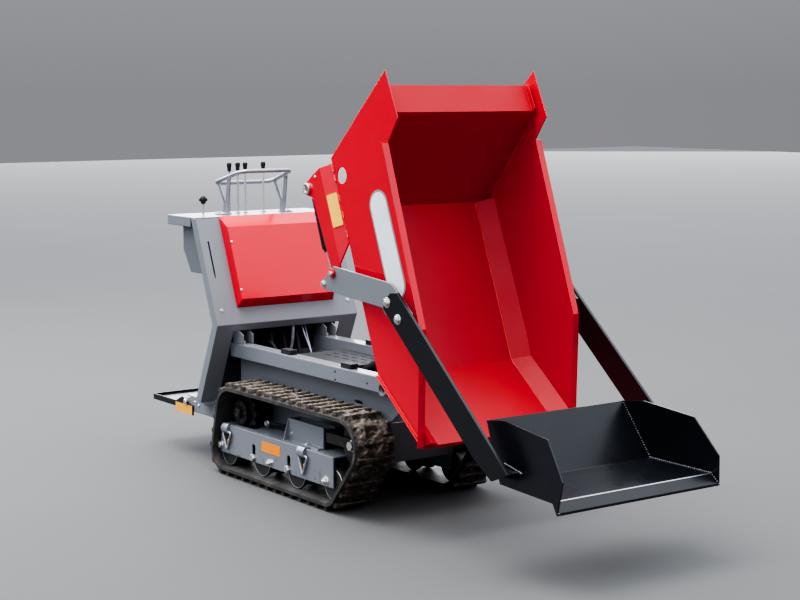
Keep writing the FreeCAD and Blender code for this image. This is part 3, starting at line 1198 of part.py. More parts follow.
def levers():
    """Upright control levers with grips, and a short speed lever with a star knob."""
    top = CONSOLE_TOP + LEVER_HEIGHT
    pieces = []
    for y in LEVER_SIDES:
        stem = rod_between(V(LEVER_X, y, CONSOLE_TOP), V(LEVER_X, y, top - GRIP_LENGTH * 0.5), LEVER_RADIUS)
        grip = rod_between(V(LEVER_X, y, top - GRIP_LENGTH), V(LEVER_X, y, top), GRIP_RADIUS)
        pieces.append(fuse([stem, grip]))
    knob_top = CONSOLE_TOP + SPEED_LEVER_HEIGHT
    stem = rod_between(V(SPEED_LEVER_X, SPEED_LEVER_Y, CONSOLE_TOP),
                       V(SPEED_LEVER_X, SPEED_LEVER_Y, knob_top - KNOB_DEPTH * 0.5), LEVER_RADIUS)
    pieces.append(fuse([stem, star_knob(SPEED_LEVER_X, SPEED_LEVER_Y, knob_top)]))
    return Part.makeCompound(pieces)


def step_frame():
    """Folded frame behind the tub that carries the console's legs and the step."""
    t = STEP_SHEET
    plate_outer = STEP_HALF - t - STEP_PLAY
    plate_inner = plate_outer - t
    tongue_x = STEP_HINGE_X - STEP_TONGUE
    sheet = (STEP_FRAME_TOP - t, STEP_FRAME_TOP)
    top = box(STEP_TOP_REAR_X, STEP_FRAME_FRONT_X, -plate_outer, plate_outer, *sheet)
    wing = box(STEP_WING_REAR_X, STEP_WING_FRONT_X, -CONSOLE_HALF, CONSOLE_HALF, *sheet)
    side = prism((
        (STEP_FRAME_FRONT_X, STEP_FRAME_BOTTOM), (STEP_FRAME_FRONT_X, STEP_FRAME_TOP),
        (STEP_PLATE_REAR_X, STEP_FRAME_TOP), (tongue_x, STEP_HINGE_Z + STEP_TONGUE),
        (tongue_x, STEP_HINGE_Z - STEP_TONGUE), (STEP_PLATE_REAR_X, STEP_FRAME_BOTTOM),
    ), plate_inner, plate_outer)
    pin = rod_y(STEP_HINGE_X, STEP_HINGE_Z, STEP_PIN_RADIUS,
                plate_inner - STEP_PIN_HEAD, STEP_HALF + STEP_PIN_HEAD)
    foot = box(CONSOLE_FOOT_X - CONSOLE_RETURN, CONSOLE_FOOT_X, CONSOLE_HALF - LEG_WIDTH, CONSOLE_HALF,
               STEP_FRAME_TOP, CONSOLE_FOOT_Z)
    return fuse([top, wing, side, mirrored(side), pin, mirrored(pin), foot, mirrored(foot)])


def step():
    """Folding step: a tread between side plates that turn on the frame's two pins."""
    t = STEP_SHEET
    inner = STEP_HALF - t
    outline = [(STEP_HINGE_X + x, STEP_HINGE_Z + z) for x, z in STEP_SIDE_OUTLINE]
    side = prism(outline, inner, STEP_HALF)
    side = side.cut(rod_y(STEP_HINGE_X, STEP_HINGE_Z, STEP_PIN_RADIUS + RUNNING_GAP,
                          inner - 1.0, STEP_HALF + 1.0))
    tread = box(STEP_REAR_X, STEP_TREAD_FRONT_X, -inner, inner, STEP_TREAD_Z - STEP_TREAD_PLATE, STEP_TREAD_Z)
    rear = box(STEP_REAR_X, STEP_REAR_X + t, -inner, inner,
               STEP_HINGE_Z + STEP_RIM_LOW, STEP_HINGE_Z + STEP_RIM_HIGH)
    return fuse([tread, rear, side, mirrored(side)])


def hoses():
    """Hoses from under the console to the tub's floor."""
    top = CONSOLE_KNEE_Z - CONSOLE_SHEET
    low = TUB_BOTTOM + TUB_SHEET
    pieces = []
    for y, top_x, low_x in HOSE_RUNS:
        points = [
            V(top_x, y, top), V(top_x, y, top - HOSE_DROP), V(low_x, y, low + HOSE_DROP), V(low_x, y, low),
        ]
        pieces.append(bent_tube(points, HOSE_BEND, HOSE_RADIUS))
    return Part.makeCompound(pieces)


def shovel_tip_x():
    return ARM_PIVOT_X + max(x for x, _ in SHOVEL_PROFILE)


MIDDLE_X = (shovel_tip_x() + STEP_REAR_X) * 0.5


def write(name, shape):
    shape.translate(V(-MIDDLE_X, 0, 0))
    shape.exportStep("parts/" + name + ".step")


def write_pair(name, shape):
    write(name + "_right", mirrored(shape))
    write(name + "_left", shape)


def main():
    os.makedirs("parts", exist_ok=True)
    write_pair("track", track_belt())
    write_pair("skip_side", place_skip(skip_side()))
    on_both_sides = {
        "track_frames": track_frame, "track_rollers": bottom_rollers, "drive_sprockets": sprocket,
        "front_idlers": idler, "idler_forks": idler_fork, "chassis_rails": chassis_rail,
    }
    for name, make in on_both_sides.items():
        write(name, both_sides(make()))
    write("arm_brackets", both_sides(place_skip(arm_bracket())))
    write("arm_plates", both_sides(place_loader(arm_plate())))
    write("arm_bars", both_sides(place_loader(arm_bar())))
    of_the_skip = {
        "skip_floor": skip_floor, "skip_rear_wall": skip_rear_wall,
        "skip_corner_strips": skip_corner_strips, "skip_underframe": skip_underframe,
    }
    for name, make in of_the_skip.items():
        write(name, place_skip(make()))
    write("shovel", place_loader(shovel()))
    write("shovel_gussets", place_loader(shovel_gussets()))
    of_the_chassis = {
        "chassis_tub": tub, "cylinder_mount": cylinder_mount, "tray": tray, "rubber_pads": rubber_pads,
        "tip_pins": tip_pins, "console_panel": console_panel, "console_side_panels": console_side_panels,
        "console_rear_panel": console_rear_panel, "console_floor": console_floor, "console_top": console_top,
        "hood": hood, "console_ears": console_ears, "engine": engine, "handrail": handrail, "levers": levers,
        "step_frame": step_frame, "step": step, "hoses": hoses,
    }
    for name, make in of_the_chassis.items():
        write(name, make())
    tip_eye = skip_point(TIP_EYE_U, TIP_EYE_N)
    barrel, rod = cylinder_parts((TIP_BASE_X, TIP_BASE_Z), tip_eye, 0.0, TIP_SPEC)
    write("tip_barrel", barrel)
    write("tip_rod", rod)
    lift_base = skip_point(LIFT_BASE_U, LIFT_BASE_N)
    lift_eye = skip_point(LIFT_EYE_U, LIFT_EYE_N)
    barrel, rod = cylinder_parts(lift_base, lift_eye, LIFT_CENTRE, LIFT_SPEC)
    write_pair("lift_barrel", barrel)
    write_pair("lift_rod", lift_pin_stub(rod))
    print("origin moved by", -MIDDLE_X)


if __name__ == "__main__":
    main()
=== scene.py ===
import math
import random

import bmesh
import bpy
from mathutils import Matrix, Vector, noise


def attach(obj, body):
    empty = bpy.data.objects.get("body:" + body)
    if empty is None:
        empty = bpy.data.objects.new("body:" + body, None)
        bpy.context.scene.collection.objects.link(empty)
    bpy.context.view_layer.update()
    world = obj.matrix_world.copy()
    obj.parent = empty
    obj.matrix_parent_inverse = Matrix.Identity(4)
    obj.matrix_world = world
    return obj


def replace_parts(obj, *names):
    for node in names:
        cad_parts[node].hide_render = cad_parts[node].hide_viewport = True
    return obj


# Dressing of a tracked site dumper with a self-loading shovel.
# Lengths are in metres. Stations are the machine's own: x counted from a point
# just behind the front of the tracks, y to the machine's left, z above the ground.
# The photograph shows the machine's right side, where y is negative.

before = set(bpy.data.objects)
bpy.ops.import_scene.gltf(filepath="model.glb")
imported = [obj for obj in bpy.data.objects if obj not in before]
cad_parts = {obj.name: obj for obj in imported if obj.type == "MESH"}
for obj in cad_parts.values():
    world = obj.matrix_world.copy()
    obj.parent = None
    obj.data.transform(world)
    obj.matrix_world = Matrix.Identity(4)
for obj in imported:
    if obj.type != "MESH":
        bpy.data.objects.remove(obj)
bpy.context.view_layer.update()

ORIGIN_SHIFT = 0.105725      # from the machine's station zero to the frame's origin
NEAR = -1.0                  # sign of y on the side that the photograph shows
SIDES = (-1.0, 1.0)
chance = random.Random(7)

# Camera, fitted to the photograph's frame of 800 by 600 pixels
CAMERA_AT = (5.3805, -3.9086, 1.6178)
CAMERA_LENS = 77.0           # in millimetres, as its sensor is
CAMERA_SENSOR = 36.0
CAMERA_AZIMUTH = 54.20       # in degrees
CAMERA_PITCH = 7.04
CAMERA_REACH = 100.0

# Skip, in its own measures: u runs along its floor to the lip, n stands square to the floor
TIP_PIVOT = (0.176, 0.491)   # the machine's x and z
TIP_ANGLE = math.radians(68.7)
SKIP_PIVOT_U = 0.873
SKIP_PIVOT_N = -0.150
SKIP_HALF = 0.348
SKIP_SHEET = 0.004
ARM_PIVOT_U = 0.425
ARM_PIVOT_N = -0.081

# Console, whose sloping face runs from the knee up to the brow, both given as x and z
CONSOLE_KNEE = (-0.859, 0.625)
CONSOLE_BROW = (-1.034, 1.071)
CONSOLE_TOP = CONSOLE_BROW[1]
HOOD_DEPTH = 0.040

UP = Vector((0.0, 0.0, 1.0))
FORWARD = Vector((1.0, 0.0, 0.0))
LEFT = Vector((0.0, 1.0, 0.0))


def at(x, y, z):
    """A station of the machine as a point of the frame."""
    return Vector((x + ORIGIN_SHIFT, y, z))


def skip_way(u, y, n):
    """A direction in the tipped skip: u along its floor, n square to it."""
    x = u * math.cos(TIP_ANGLE) + n * math.sin(TIP_ANGLE)
    z = n * math.cos(TIP_ANGLE) - u * math.sin(TIP_ANGLE)
    return Vector((x, y, z))


def skip_at(u, y, n):
    """A point of the tipped skip."""
    return at(TIP_PIVOT[0], 0.0, TIP_PIVOT[1]) + skip_way(u - SKIP_PIVOT_U, y, n - SKIP_PIVOT_N)


ARM_PIVOT = skip_at(ARM_PIVOT_U, 0.0, ARM_PIVOT_N)


def loader_at(x, y, z):
    """A point of the loader, counted from the arms' pivot."""
    return ARM_PIVOT + Vector((x, y, z))


FACE_UP = Vector((CONSOLE_BROW[0] - CONSOLE_KNEE[0], 0.0, CONSOLE_BROW[1] - CONSOLE_KNEE[1])).normalized()
FACE_OUT = Vector((FACE_UP.z, 0.0, -FACE_UP.x))


def face_at(distance, y, above):
    """A point at a distance up the console's sloping face, and off it."""
    return at(CONSOLE_KNEE[0], y, CONSOLE_KNEE[1]) + FACE_UP * distance + FACE_OUT * above


# Materials

# Sockets of a mix node that carry colour
MIX_FIRST = 6
MIX_SECOND = 7
MIX_RESULT = 2
# Ranges of noise: the even one spans nearly all values, the mixed one those in the middle
EVEN = (0.3, 0.7)
MIXED = (0.4, 0.6)
# Scales of noise in features to the metre
MOTTLE_SCALE = 1.7
DUST_SCALE = 6.0
SHEEN_SCALE = 11.0
MUD_SCALE = 24.0
SPLASH_SCALE = 34.0
PAINT_GRAIN = 240.0
PRINT_GRAIN = 200.0
CLOD_SCALE = 60.0
GRAIN_DEPTH = 0.0004
BEVEL_SAMPLES = 4


class Nodes:
    """A node tree, with short helpers for the nodes it needs."""

    def __init__(self, tree, coords):
        self.nodes = tree.nodes
        self.links = tree.links
        self.coords = self.nodes.new("ShaderNodeTexCoord").outputs[coords]

    def add(self, kind, **values):
        """A new node with values on its sockets, an underscore for each space in their names."""
        node = self.nodes.new("ShaderNode" + kind)
        for name, value in values.items():
            node.inputs[name.replace("_", " ")].default_value = value
        return node

    def noise(self, scale, detail=3.0, roughness=0.55):
        """Noise over the tree's coordinates."""
        node = self.add("TexNoise", Scale=scale, Detail=detail, Roughness=roughness)
        self.links.new(self.coords, node.inputs["Vector"])
        return node.outputs["Fac"]

    def spread(self, value, low, high, to_low=0.0, to_high=1.0):
        """Spread a range of a value over another range, held at its ends."""
        node = self.add("MapRange", From_Min=low, From_Max=high, To_Min=to_low, To_Max=to_high)
        self.links.new(value, node.inputs["Value"])
        return node.outputs["Result"]

    def math(self, operation, first, second):
        """A sum or product of two values, held between 0 and 1."""
        node = self.add("Math")
        node.operation = operation
        node.use_clamp = True
        for socket, value in zip(node.inputs, (first, second)):
            if isinstance(value, float):
                socket.default_value = value
            else:
                self.links.new(value, socket)
        return node.outputs["Value"]

    def part_of(self, output, axis):
        """One coordinate of a vector."""
        split = self.add("SeparateXYZ")
        self.links.new(output, split.inputs["Vector"])
        return split.outputs[axis]

    def mix(self, share, first, second):
        """A blend of two colours, plain ones or nodes, by the share of the second."""
        node = self.add("Mix")
        node.data_type = "RGBA"
        self.links.new(share, node.inputs["Factor"])
        for socket, value in ((node.inputs[MIX_FIRST], first), (node.inputs[MIX_SECOND], second)):
            if isinstance(value, tuple):
                socket.default_value = (*value, 1.0)
            else:
                self.links.new(value, socket)
        return node.outputs[MIX_RESULT]


class Paint(Nodes):
    """A material over the piece's own coordinates."""

    def __init__(self, name):
        self.material = bpy.data.materials.new(name)
        self.material.use_nodes = True
        super().__init__(self.material.node_tree, "Object")
        self.shader = self.nodes["Principled BSDF"]

    def set(self, **values):
        """Set the shader's own sockets, an underscore for each space in their names."""
        for name, value in values.items():
            self.shader.inputs[name.replace("_", " ")].default_value = value

    def link(self, output, name):
        """Feed one of the shader's sockets from a node."""
        self.links.new(output, self.shader.inputs[name])

    def height(self):
        """Height above the ground in the built pose."""
        return self.part_of(self.coords, "Z")

    def facing_up(self):
        """How far the surface faces up: 1 for a flat top, 0 for an upright side."""
        return self.part_of(self.add("NewGeometry").outputs["Normal"], "Z")

    def stored(self, name):
        """A value stored with the mesh."""
        node = self.add("Attribute")
        node.attribute_name = name
        return node.outputs["Fac"]

    def bump(self, height, strength, distance, edge_radius=None):
        """Fine relief, with edges that look rounded where a radius is given."""
        node = self.add("Bump", Strength=strength, Distance=distance)
        if edge_radius:
            edge = self.add("Bevel", Radius=edge_radius)
            edge.samples = BEVEL_SAMPLES
            self.links.new(edge.outputs["Normal"], node.inputs["Normal"])
        self.links.new(height, node.inputs["Height"])
        self.link(node.outputs["Normal"], "Normal")


MUD_DARK = (0.022, 0.015, 0.010)
MUD_LIGHT = (0.095, 0.072, 0.055)
# Pale tone of the lug crests that face up, partly dried mud and partly painted light
PALE_MUD_AND_CREST_LIGHT = (0.20, 0.165, 0.135)
DUST = (0.30, 0.25, 0.20)
BARE_RUBBER = (0.016, 0.014, 0.013)
EDGE_RADIUS = 0.0028
TUBE_EDGE_RADIUS = 0.006     # of rolled tube and folded plate
MOTTLE = 0.92                # share of a paint's colour left in its darker patches
UPRIGHT_DUST = 0.3           # dust on an upright face, as a share of what lies on a flat top
SPLASH_FADE = 0.3            # splashes are full below this share of their height
COAT_ROUGHNESS = 0.08
STAIN_SHADE = 0.45
RUB_SHADE = 0.6


def shaded(colour, share):
    """A colour made darker."""
    return tuple(share * part for part in colour)


def painted(name, colour, roughness, coat, mud_top, dust, edge_radius=EDGE_RADIUS):
    """Painted sheet: a film of dust on what faces up, and mud splashes up to a height."""
    paint = Paint(name)
    mottled = paint.mix(paint.spread(paint.noise(MOTTLE_SCALE), *EVEN), colour, shaded(colour, MOTTLE))
    level = paint.spread(paint.facing_up(), 0.0, 1.0, dust * UPRIGHT_DUST, dust)
    film = paint.math("MULTIPLY", paint.spread(paint.noise(DUST_SCALE, 5.0), 0.45, 0.8), level)
    dusty = paint.mix(film, mottled, DUST)
    low = paint.spread(paint.height(), mud_top, mud_top * SPLASH_FADE)
    splash = paint.spread(paint.noise(SPLASH_SCALE, 9.0, 0.72), 0.56, 0.61)
    share = paint.math("MULTIPLY", low, splash)
    mud = paint.mix(paint.spread(paint.noise(MUD_SCALE), *MIXED), MUD_DARK, MUD_LIGHT)
    paint.link(paint.mix(share, dusty, mud), "Base Color")
    sheen = paint.spread(paint.noise(SHEEN_SCALE, 5.0), *EVEN, roughness, roughness + 0.06)
    paint.link(paint.math("ADD", sheen, paint.math("MULTIPLY", share, 0.5)), "Roughness")
    paint.set(Coat_Weight=coat, Coat_Roughness=COAT_ROUGHNESS)
    paint.bump(paint.noise(PAINT_GRAIN, 2.0), 0.03, GRAIN_DEPTH, edge_radius)
    return paint.material


def bare_metal(name, colour, roughness, grain):
    """Plated or ground steel with fine grain and a few stains."""
    paint = Paint(name)
    stain = paint.spread(paint.noise(30.0, 5.0), 0.55, 0.8, 0.0, 0.5)
    paint.link(paint.mix(stain, colour, shaded(colour, STAIN_SHADE)), "Base Color")
    paint.link(paint.spread(paint.noise(60.0, 4.0), *EVEN, roughness, roughness + 0.2), "Roughness")
    paint.set(Metallic=1.0)
    paint.bump(paint.noise(grain, 3.0), 0.1, GRAIN_DEPTH)
    return paint.material


def rubber(name, colour, worn, scale):
    """Dull rubber or moulded plastic with worn lighter patches."""
    paint = Paint(name)
    patches = paint.spread(paint.noise(scale, 5.0), 0.45, 0.7)
    paint.link(paint.mix(patches, colour, worn), "Base Color")
    paint.link(paint.spread(paint.noise(scale * 2.0, 4.0), *EVEN, 0.45, 0.7), "Roughness")
    paint.bump(paint.noise(scale * 14.0, 4.0), 0.2, 0.0006)
    return paint.material


def printed(name, colour):
    """A blank plate: thin film with a soft sheen, a little dusty and rubbed."""
    paint = Paint(name)
    wear = paint.spread(paint.noise(45.0, 6.0), 0.5, 0.75, 0.0, 0.35)
    film = paint.spread(paint.noise(12.0, 5.0), 0.5, 0.8, 0.0, 0.25)
    rubbed = paint.mix(wear, colour, shaded(colour, RUB_SHADE))
    paint.link(paint.mix(film, rubbed, DUST), "Base Color")
    paint.link(paint.spread(paint.noise(30.0, 3.0), *EVEN, 0.32, 0.5), "Roughness")
    paint.bump(paint.noise(PRINT_GRAIN, 2.0), 0.04, GRAIN_DEPTH)
    return paint.material


def caked_track():
    """Track rubber under mud: darker in the gaps, pale on the lug crests that face up, partly dried mud
    and partly painted light.
    """
    paint = Paint("caked_mud")
    clods = paint.noise(CLOD_SCALE, 9.0, 0.72)
    mud = paint.mix(paint.spread(paint.noise(18.0, 8.0, 0.7), 0.40, 0.62), MUD_DARK, MUD_LIGHT)
    gaps = paint.mix(paint.spread(paint.stored("crest"), 0.65, 0.2), mud, MUD_DARK)
    # Crests turn pale only where they face up: partly dried mud, partly painted light on the tops
    level = paint.spread(paint.facing_up(), -0.1, 0.7)
    patches = paint.spread(paint.noise(70.0, 8.0, 0.75), 0.36, 0.56)
    crest = paint.math("MULTIPLY", paint.spread(paint.stored("crest"), 0.72, 0.95), patches)
    pale = paint.mix(paint.math("MULTIPLY", crest, level), gaps, PALE_MUD_AND_CREST_LIGHT)
    bare = paint.spread(clods, 0.38, 0.32)
    paint.link(paint.mix(bare, pale, BARE_RUBBER), "Base Color")
    paint.link(paint.spread(clods, *EVEN, 0.45, 0.95), "Roughness")
    paint.bump(clods, 0.9, 0.007)
    return paint.material


# Painted finishes: name, colour, roughness, coat, height of the mud, dust and the look of its edges
RED = painted("red_paint", (0.60, 0.0010, 0.0150), 0.20, 0.25, 0.04, 0.04)
# Darker red inside the skip is painted shade; the rougher, uncoated finish also makes it duller
SHADED_INNER_RED = painted("shaded_inner_red_paint", (0.48, 0.0010, 0.0115), 0.50, 0.0, 0.04, 0.04)
GREY = painted("grey_paint", (0.180, 0.188, 0.207), 0.30, 0.15, 0.16, 0.05, TUBE_EDGE_RADIUS)
# A darker copy of the grey paint for the console's side panels, as painted shade
SHADED_PANEL_GREY = painted("shaded_panel_grey_paint", (0.130, 0.137, 0.153), 0.34, 0.10, 0.16, 0.05)
# Near-black grey for the cross plate under the console, as painted shade
PAINTED_SHADE_GREY = painted("painted_shade_grey_paint", (0.022, 0.023, 0.026), 0.60, 0.0, 0.16, 0.05)
# Near-black grey for the tray under the console, as painted shade of the console and skip above it
SHADED_TRAY_GREY = painted("shaded_tray_grey_paint", (0.022, 0.024, 0.028), 0.66, 0.0, 0.16, 0.05)
ARM_GREY = painted("arm_grey_paint", (0.170, 0.176, 0.186), 0.36, 0.05, 0.05, 0.05)
# The black paint's blue tint is a painted reflection of the sky
BLACK = painted("black_paint", (0.0032, 0.0042, 0.0075), 0.26, 0.02, 0.20, 0.02)
# Lighter, pinker red than the skip's paint for its weld beads, a painted highlight for their glints
HIGHLIGHTED_WELD_RED = painted("highlighted_weld_red_paint", (0.70, 0.045, 0.050), 0.12, 0.6, 0.02, 0.02)
# Lighter than the black paint for the shovel's weld beads, a painted highlight for their glints
HIGHLIGHTED_WELD_BLACK = painted("highlighted_weld_black_paint", (0.020, 0.022, 0.027), 0.10, 0.6, 0.02, 0.02)
# Near-black paint: the own colour of the idler forks and sprockets, and on the tip pins painted shade of
# their recesses
HUB_BLACK_AND_PIN_SHADE = painted("hub_black_and_pin_shade_paint", (0.008, 0.008, 0.008), 0.38, 0.0, 0.40, 0.15)
DARK_IRON = painted("dark_iron_paint", (0.030, 0.029, 0.028), 0.42, 0.0, 0.45, 0.20)
MUDDY = caked_track()
BELT = rubber("track_rubber", (0.035, 0.034, 0.034), (0.080, 0.068, 0.058), 22.0)
ZINC = bare_metal("zinc_plate", (0.66, 0.65, 0.62), 0.26, 300.0)
TUBE = bare_metal("galvanised_tube", (0.36, 0.37, 0.40), 0.40, 500.0)
STEM = painted("plated_stem", (0.36, 0.37, 0.39), 0.30, 0.10, 0.01, 0.02)
WORN_STEEL = bare_metal("worn_steel", (0.52, 0.53, 0.55), 0.30, 700.0)
CHROME = bare_metal("chromed_rod", (0.78, 0.78, 0.80), 0.10, 900.0)
GRIP = rubber("lever_plastic", (0.006, 0.006, 0.007), (0.012, 0.012, 0.012), 60.0)
PAD = rubber("pad_rubber", (0.010, 0.010, 0.011), (0.03, 0.028, 0.026), 40.0)
HOSE = rubber("hose_rubber", (0.006, 0.006, 0.008), (0.015, 0.015, 0.018), 50.0)
# Mid blue-grey for the cables' sleeves, and on the dark hose under the console a painted highlight
CABLE_GREY_AND_HOSE_HIGHLIGHT = rubber("cable_sleeve_and_hose_highlight", (0.30, 0.34, 0.40), (0.16, 0.18, 0.22), 50.0)
WHITE_PLATE = printed("white_plate", (0.74, 0.77, 0.80))
RIM_PLATE = printed("plate_rim", (0.20, 0.22, 0.24))
PALE_YELLOW = printed("pale_yellow_plate", (0.90, 0.50, 0.055))
ORANGE = printed("orange_plate", (0.85, 0.25, 0.006))
OCHRE = printed("ochre_plate", (0.80, 0.40, 0.04))
CAP_ORANGE = printed("orange_cap", (0.75, 0.28, 0.03))

NODE_PAINTS = (
    (RED, "skip_side_left skip_side_right skip_underframe arm_brackets hood"),
    # The skip's inner sheets take the darker red as painted shade
    (SHADED_INNER_RED, "skip_floor skip_rear_wall skip_corner_strips"),
    (GREY, "track_frames chassis_rails chassis_tub cylinder_mount console_panel console_rear_panel"),
    (GREY, "console_floor console_top console_ears step_frame"),
    # The console's side panels take the darker grey as painted shade
    (SHADED_PANEL_GREY, "console_side_panels"),
    # The tray takes the near-black grey as painted shade
    (SHADED_TRAY_GREY, "tray"),
    (ARM_GREY, "arm_plates"),
    (BLACK, "arm_bars shovel shovel_gussets step lift_barrel_left lift_barrel_right tip_barrel"),
    # On the tip pins the near-black paint is painted shade of the recesses they sit in
    (HUB_BLACK_AND_PIN_SHADE, "idler_forks drive_sprockets tip_pins"),
    (DARK_IRON, "track_rollers front_idlers engine"),
    (CHROME, "tip_rod lift_rod_left lift_rod_right"),
    (PAD, "rubber_pads"),
    (HOSE, "hoses"),
    (TUBE, "handrail"),
)

EDGE_ROUNDING = 0.0011
EDGE_SEGMENTS = 2
EDGE_LIMIT = math.radians(32.0)
FLAT_LIMIT = math.radians(1.0)
JOIN_DISTANCE = 0.00002
FLAT_FACE_WEIGHT = 80


def finish_node(name, paint):
    """Give a carried-over node its paint and slightly rounded sheet edges."""
    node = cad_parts[name]
    node.data.materials.clear()
    node.data.materials.append(paint)
    weld = node.modifiers.new("join", "WELD")
    weld.merge_threshold = JOIN_DISTANCE
    flat = node.modifiers.new("flat", "DECIMATE")
    flat.decimate_type = "DISSOLVE"
    flat.angle_limit = FLAT_LIMIT
    bevel = node.modifiers.new("edge", "BEVEL")
    bevel.width = EDGE_ROUNDING
    bevel.segments = EDGE_SEGMENTS
    bevel.limit_method = "ANGLE"
    bevel.angle_limit = EDGE_LIMIT
    bevel.use_clamp_overlap = False
    normals = node.modifiers.new("normals", "WEIGHTED_NORMAL")
    normals.keep_sharp = True
    normals.weight = FLAT_FACE_WEIGHT


for node_paint, node_names in NODE_PAINTS:
    for node_name in node_names.split():
        finish_node(node_name, node_paint)


# Small forms

def facing(point, outward, top=UP):
    """Place of a small form: its own z runs outward from a surface, its y towards the top."""
    across = top.cross(outward).normalized()
    turned = Matrix((across, outward.cross(across).normalized(), outward.normalized())).transposed()
    return Matrix.Translation(point) @ turned.to_4x4()


def on_side(side, x, y, z):
    """Place of a small form that faces out from one side of the machine."""
    return facing(at(x, side * y, z), LEFT * side)


def circle(x, y, z, radius, count):
    """Points round an axle that runs across the machine."""
    angles = [2.0 * math.pi * step / count for step in range(count)]
    return [at(x + radius * math.cos(angle), y, z + radius * math.sin(angle)) for angle in angles]


def rounded_rectangle(length, width, radius, steps=6):
    """Outline of a rectangle with round corners, centred."""
    outline = []
    for quarter, (across, above) in enumerate(((1, 1), (-1, 1), (-1, -1), (1, -1))):
        for step in range(steps + 1):
            angle = math.pi * 0.5 * (quarter + step / steps)
            x = across * (length * 0.5 - radius) + radius * math.cos(angle)
            y = above * (width * 0.5 - radius) + radius * math.sin(angle)
            outline.append((x, y))
    return outline


def smooth_line(corners, bend, steps=6, closed=False):
    """Points along straight runs whose corners are rounded off."""
    points = []
    count = len(corners)
    for index, corner in enumerate(corners):
        if not closed and index in (0, count - 1):
            points.append(corner)
            continue
        start = corner + (corners[index - 1] - corner).normalized() * bend
        end = corner + (corners[(index + 1) % count] - corner).normalized() * bend
        for step in range(steps + 1):
            share = step / steps
            points.append(start.lerp(corner, share).lerp(corner.lerp(end, share), share))
    return points


# Half section of a drop of weld, columns are shares of its size, out from its middle and up
DROP_SECTION = ((1.0, -0.5), (1.0, 0.1), (0.8, 0.45), (0.35, 0.65))


class Piece:
    """One object whose mesh joins several small forms."""

    def __init__(self, name):
        self.name = name
        self.form = bmesh.new()

    def ring(self, place, radius, height, sides):
        """Points evenly round the place's own z, at a height along it."""
        corners = []
        for index in range(sides):
            angle = 2.0 * math.pi * index / sides
            corner = Vector((radius * math.cos(angle), radius * math.sin(angle), height))
            corners.append(self.form.verts.new(place @ corner))
        return corners

    def join(self, rings, closed=False):
        """Faces between rings of equal length, with a cap at each end unless they close on themselves."""
        pairs = list(zip(rings, rings[1:]))
        if closed:
            pairs.append((rings[-1], rings[0]))
        for lower, upper in pairs:
            for index in range(len(lower)):
                following = (index + 1) % len(lower)
                self.form.faces.new((lower[index], lower[following], upper[following], upper[index]))
        if not closed:
            self.form.faces.new(list(reversed(rings[0])))
            self.form.faces.new(rings[-1])

    def turned(self, place, profile, sides=24):
        """A turned form from rings of radius and height."""
        self.join([self.ring(place, radius, height, sides) for radius, height in profile])

    def slab(self, place, outline, low, high):
        """A flat form with an outline of x and y points, between two heights."""
        rings = []
        for height in (low, high):
            rings.append([self.form.verts.new(place @ Vector((x, y, height))) for x, y in outline])
        self.join(rings)

    def tube(self, points, radius, sides=10, closed=False):
        """A round bar along points."""
        count = len(points)
        side = None
        rings = []
        for index, point in enumerate(points):
            before = points[index - 1] if closed or index else point
            after = points[(index + 1) % count] if closed or index < count - 1 else point
            along = (after - before).normalized()
            side = along.orthogonal() if side is None else side
            side = (side - along * side.dot(along)).normalized()
            turned = Matrix((side, along.cross(side), along)).transposed()
            rings.append(self.ring(Matrix.Translation(point) @ turned.to_4x4(), radius, 0.0, sides))
        self.join(rings, closed)

    def hex_head(self, place, size, washer=0.78, height=0.50):
        """A chamfered six-sided head on a washer; size is across its flats, the rest are shares of it."""
        thick = size * 0.09
        corner = size / math.sqrt(3.0)
        if washer:
            rim = size * washer
            self.turned(place, ((rim, 0.0), (rim, thick * 0.7), (rim * 0.96, thick)), 28)
        top = size * height
        head = ((corner, -thick), (corner, top * 0.84), (corner * 0.9, top), (corner * 0.5, top * 1.02))
        self.turned(place, head, 6)

    def stud_end(self, place, size):
        """A nut on a washer, with the stud's end standing out of it."""
        self.hex_head(place, size)
        radius = size * 0.30
        self.turned(place, ((radius, size * 0.4), (radius, size * 0.72), (radius * 0.8, size * 0.80)), 16)

    def button(self, place, radius):
        """A low domed screw head with a socket."""
        dome = (
            (radius, 0.0), (radius * 0.97, radius * 0.25), (radius * 0.75, radius * 0.5),
            (radius * 0.42, radius * 0.62), (radius * 0.40, radius * 0.3),
        )
        self.turned(place, dome, 20)

    def bead(self, start, end, outward, size_wanted, pitch=0.0055):
        """A hand-laid weld: a row of uneven overlapping drops."""
        run = end - start
        count = max(2, int(run.length / pitch))
        for index in range(count + 1):
            size = size_wanted * chance.uniform(0.85, 1.15)
            drift = run.cross(outward).normalized() * chance.uniform(-0.12, 0.12) * size_wanted
            place = facing(start + run * index / count + drift, outward, run)
            self.turned(place, [(size * radius, size * height) for radius, height in DROP_SECTION], 8)

    def finish(self, paint, body, sharp=35.0, crests=None):
        """Make the object, ride it on its body and give it its paint."""
        bmesh.ops.recalc_face_normals(self.form, faces=self.form.faces)
        mesh = bpy.data.meshes.new(self.name)
        self.form.to_mesh(mesh)
        self.form.free()
        if crests:
            mesh.attributes.new("crest", "FLOAT", "POINT").data.foreach_set("value", crests)
        mesh.materials.append(paint)
        mesh.shade_smooth()
        mesh.set_sharp_from_angle(angle=math.radians(sharp))
        piece = bpy.data.objects.new(self.name, mesh)
        bpy.context.scene.collection.objects.link(piece)
        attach(piece, body)
        return piece


# Tracks

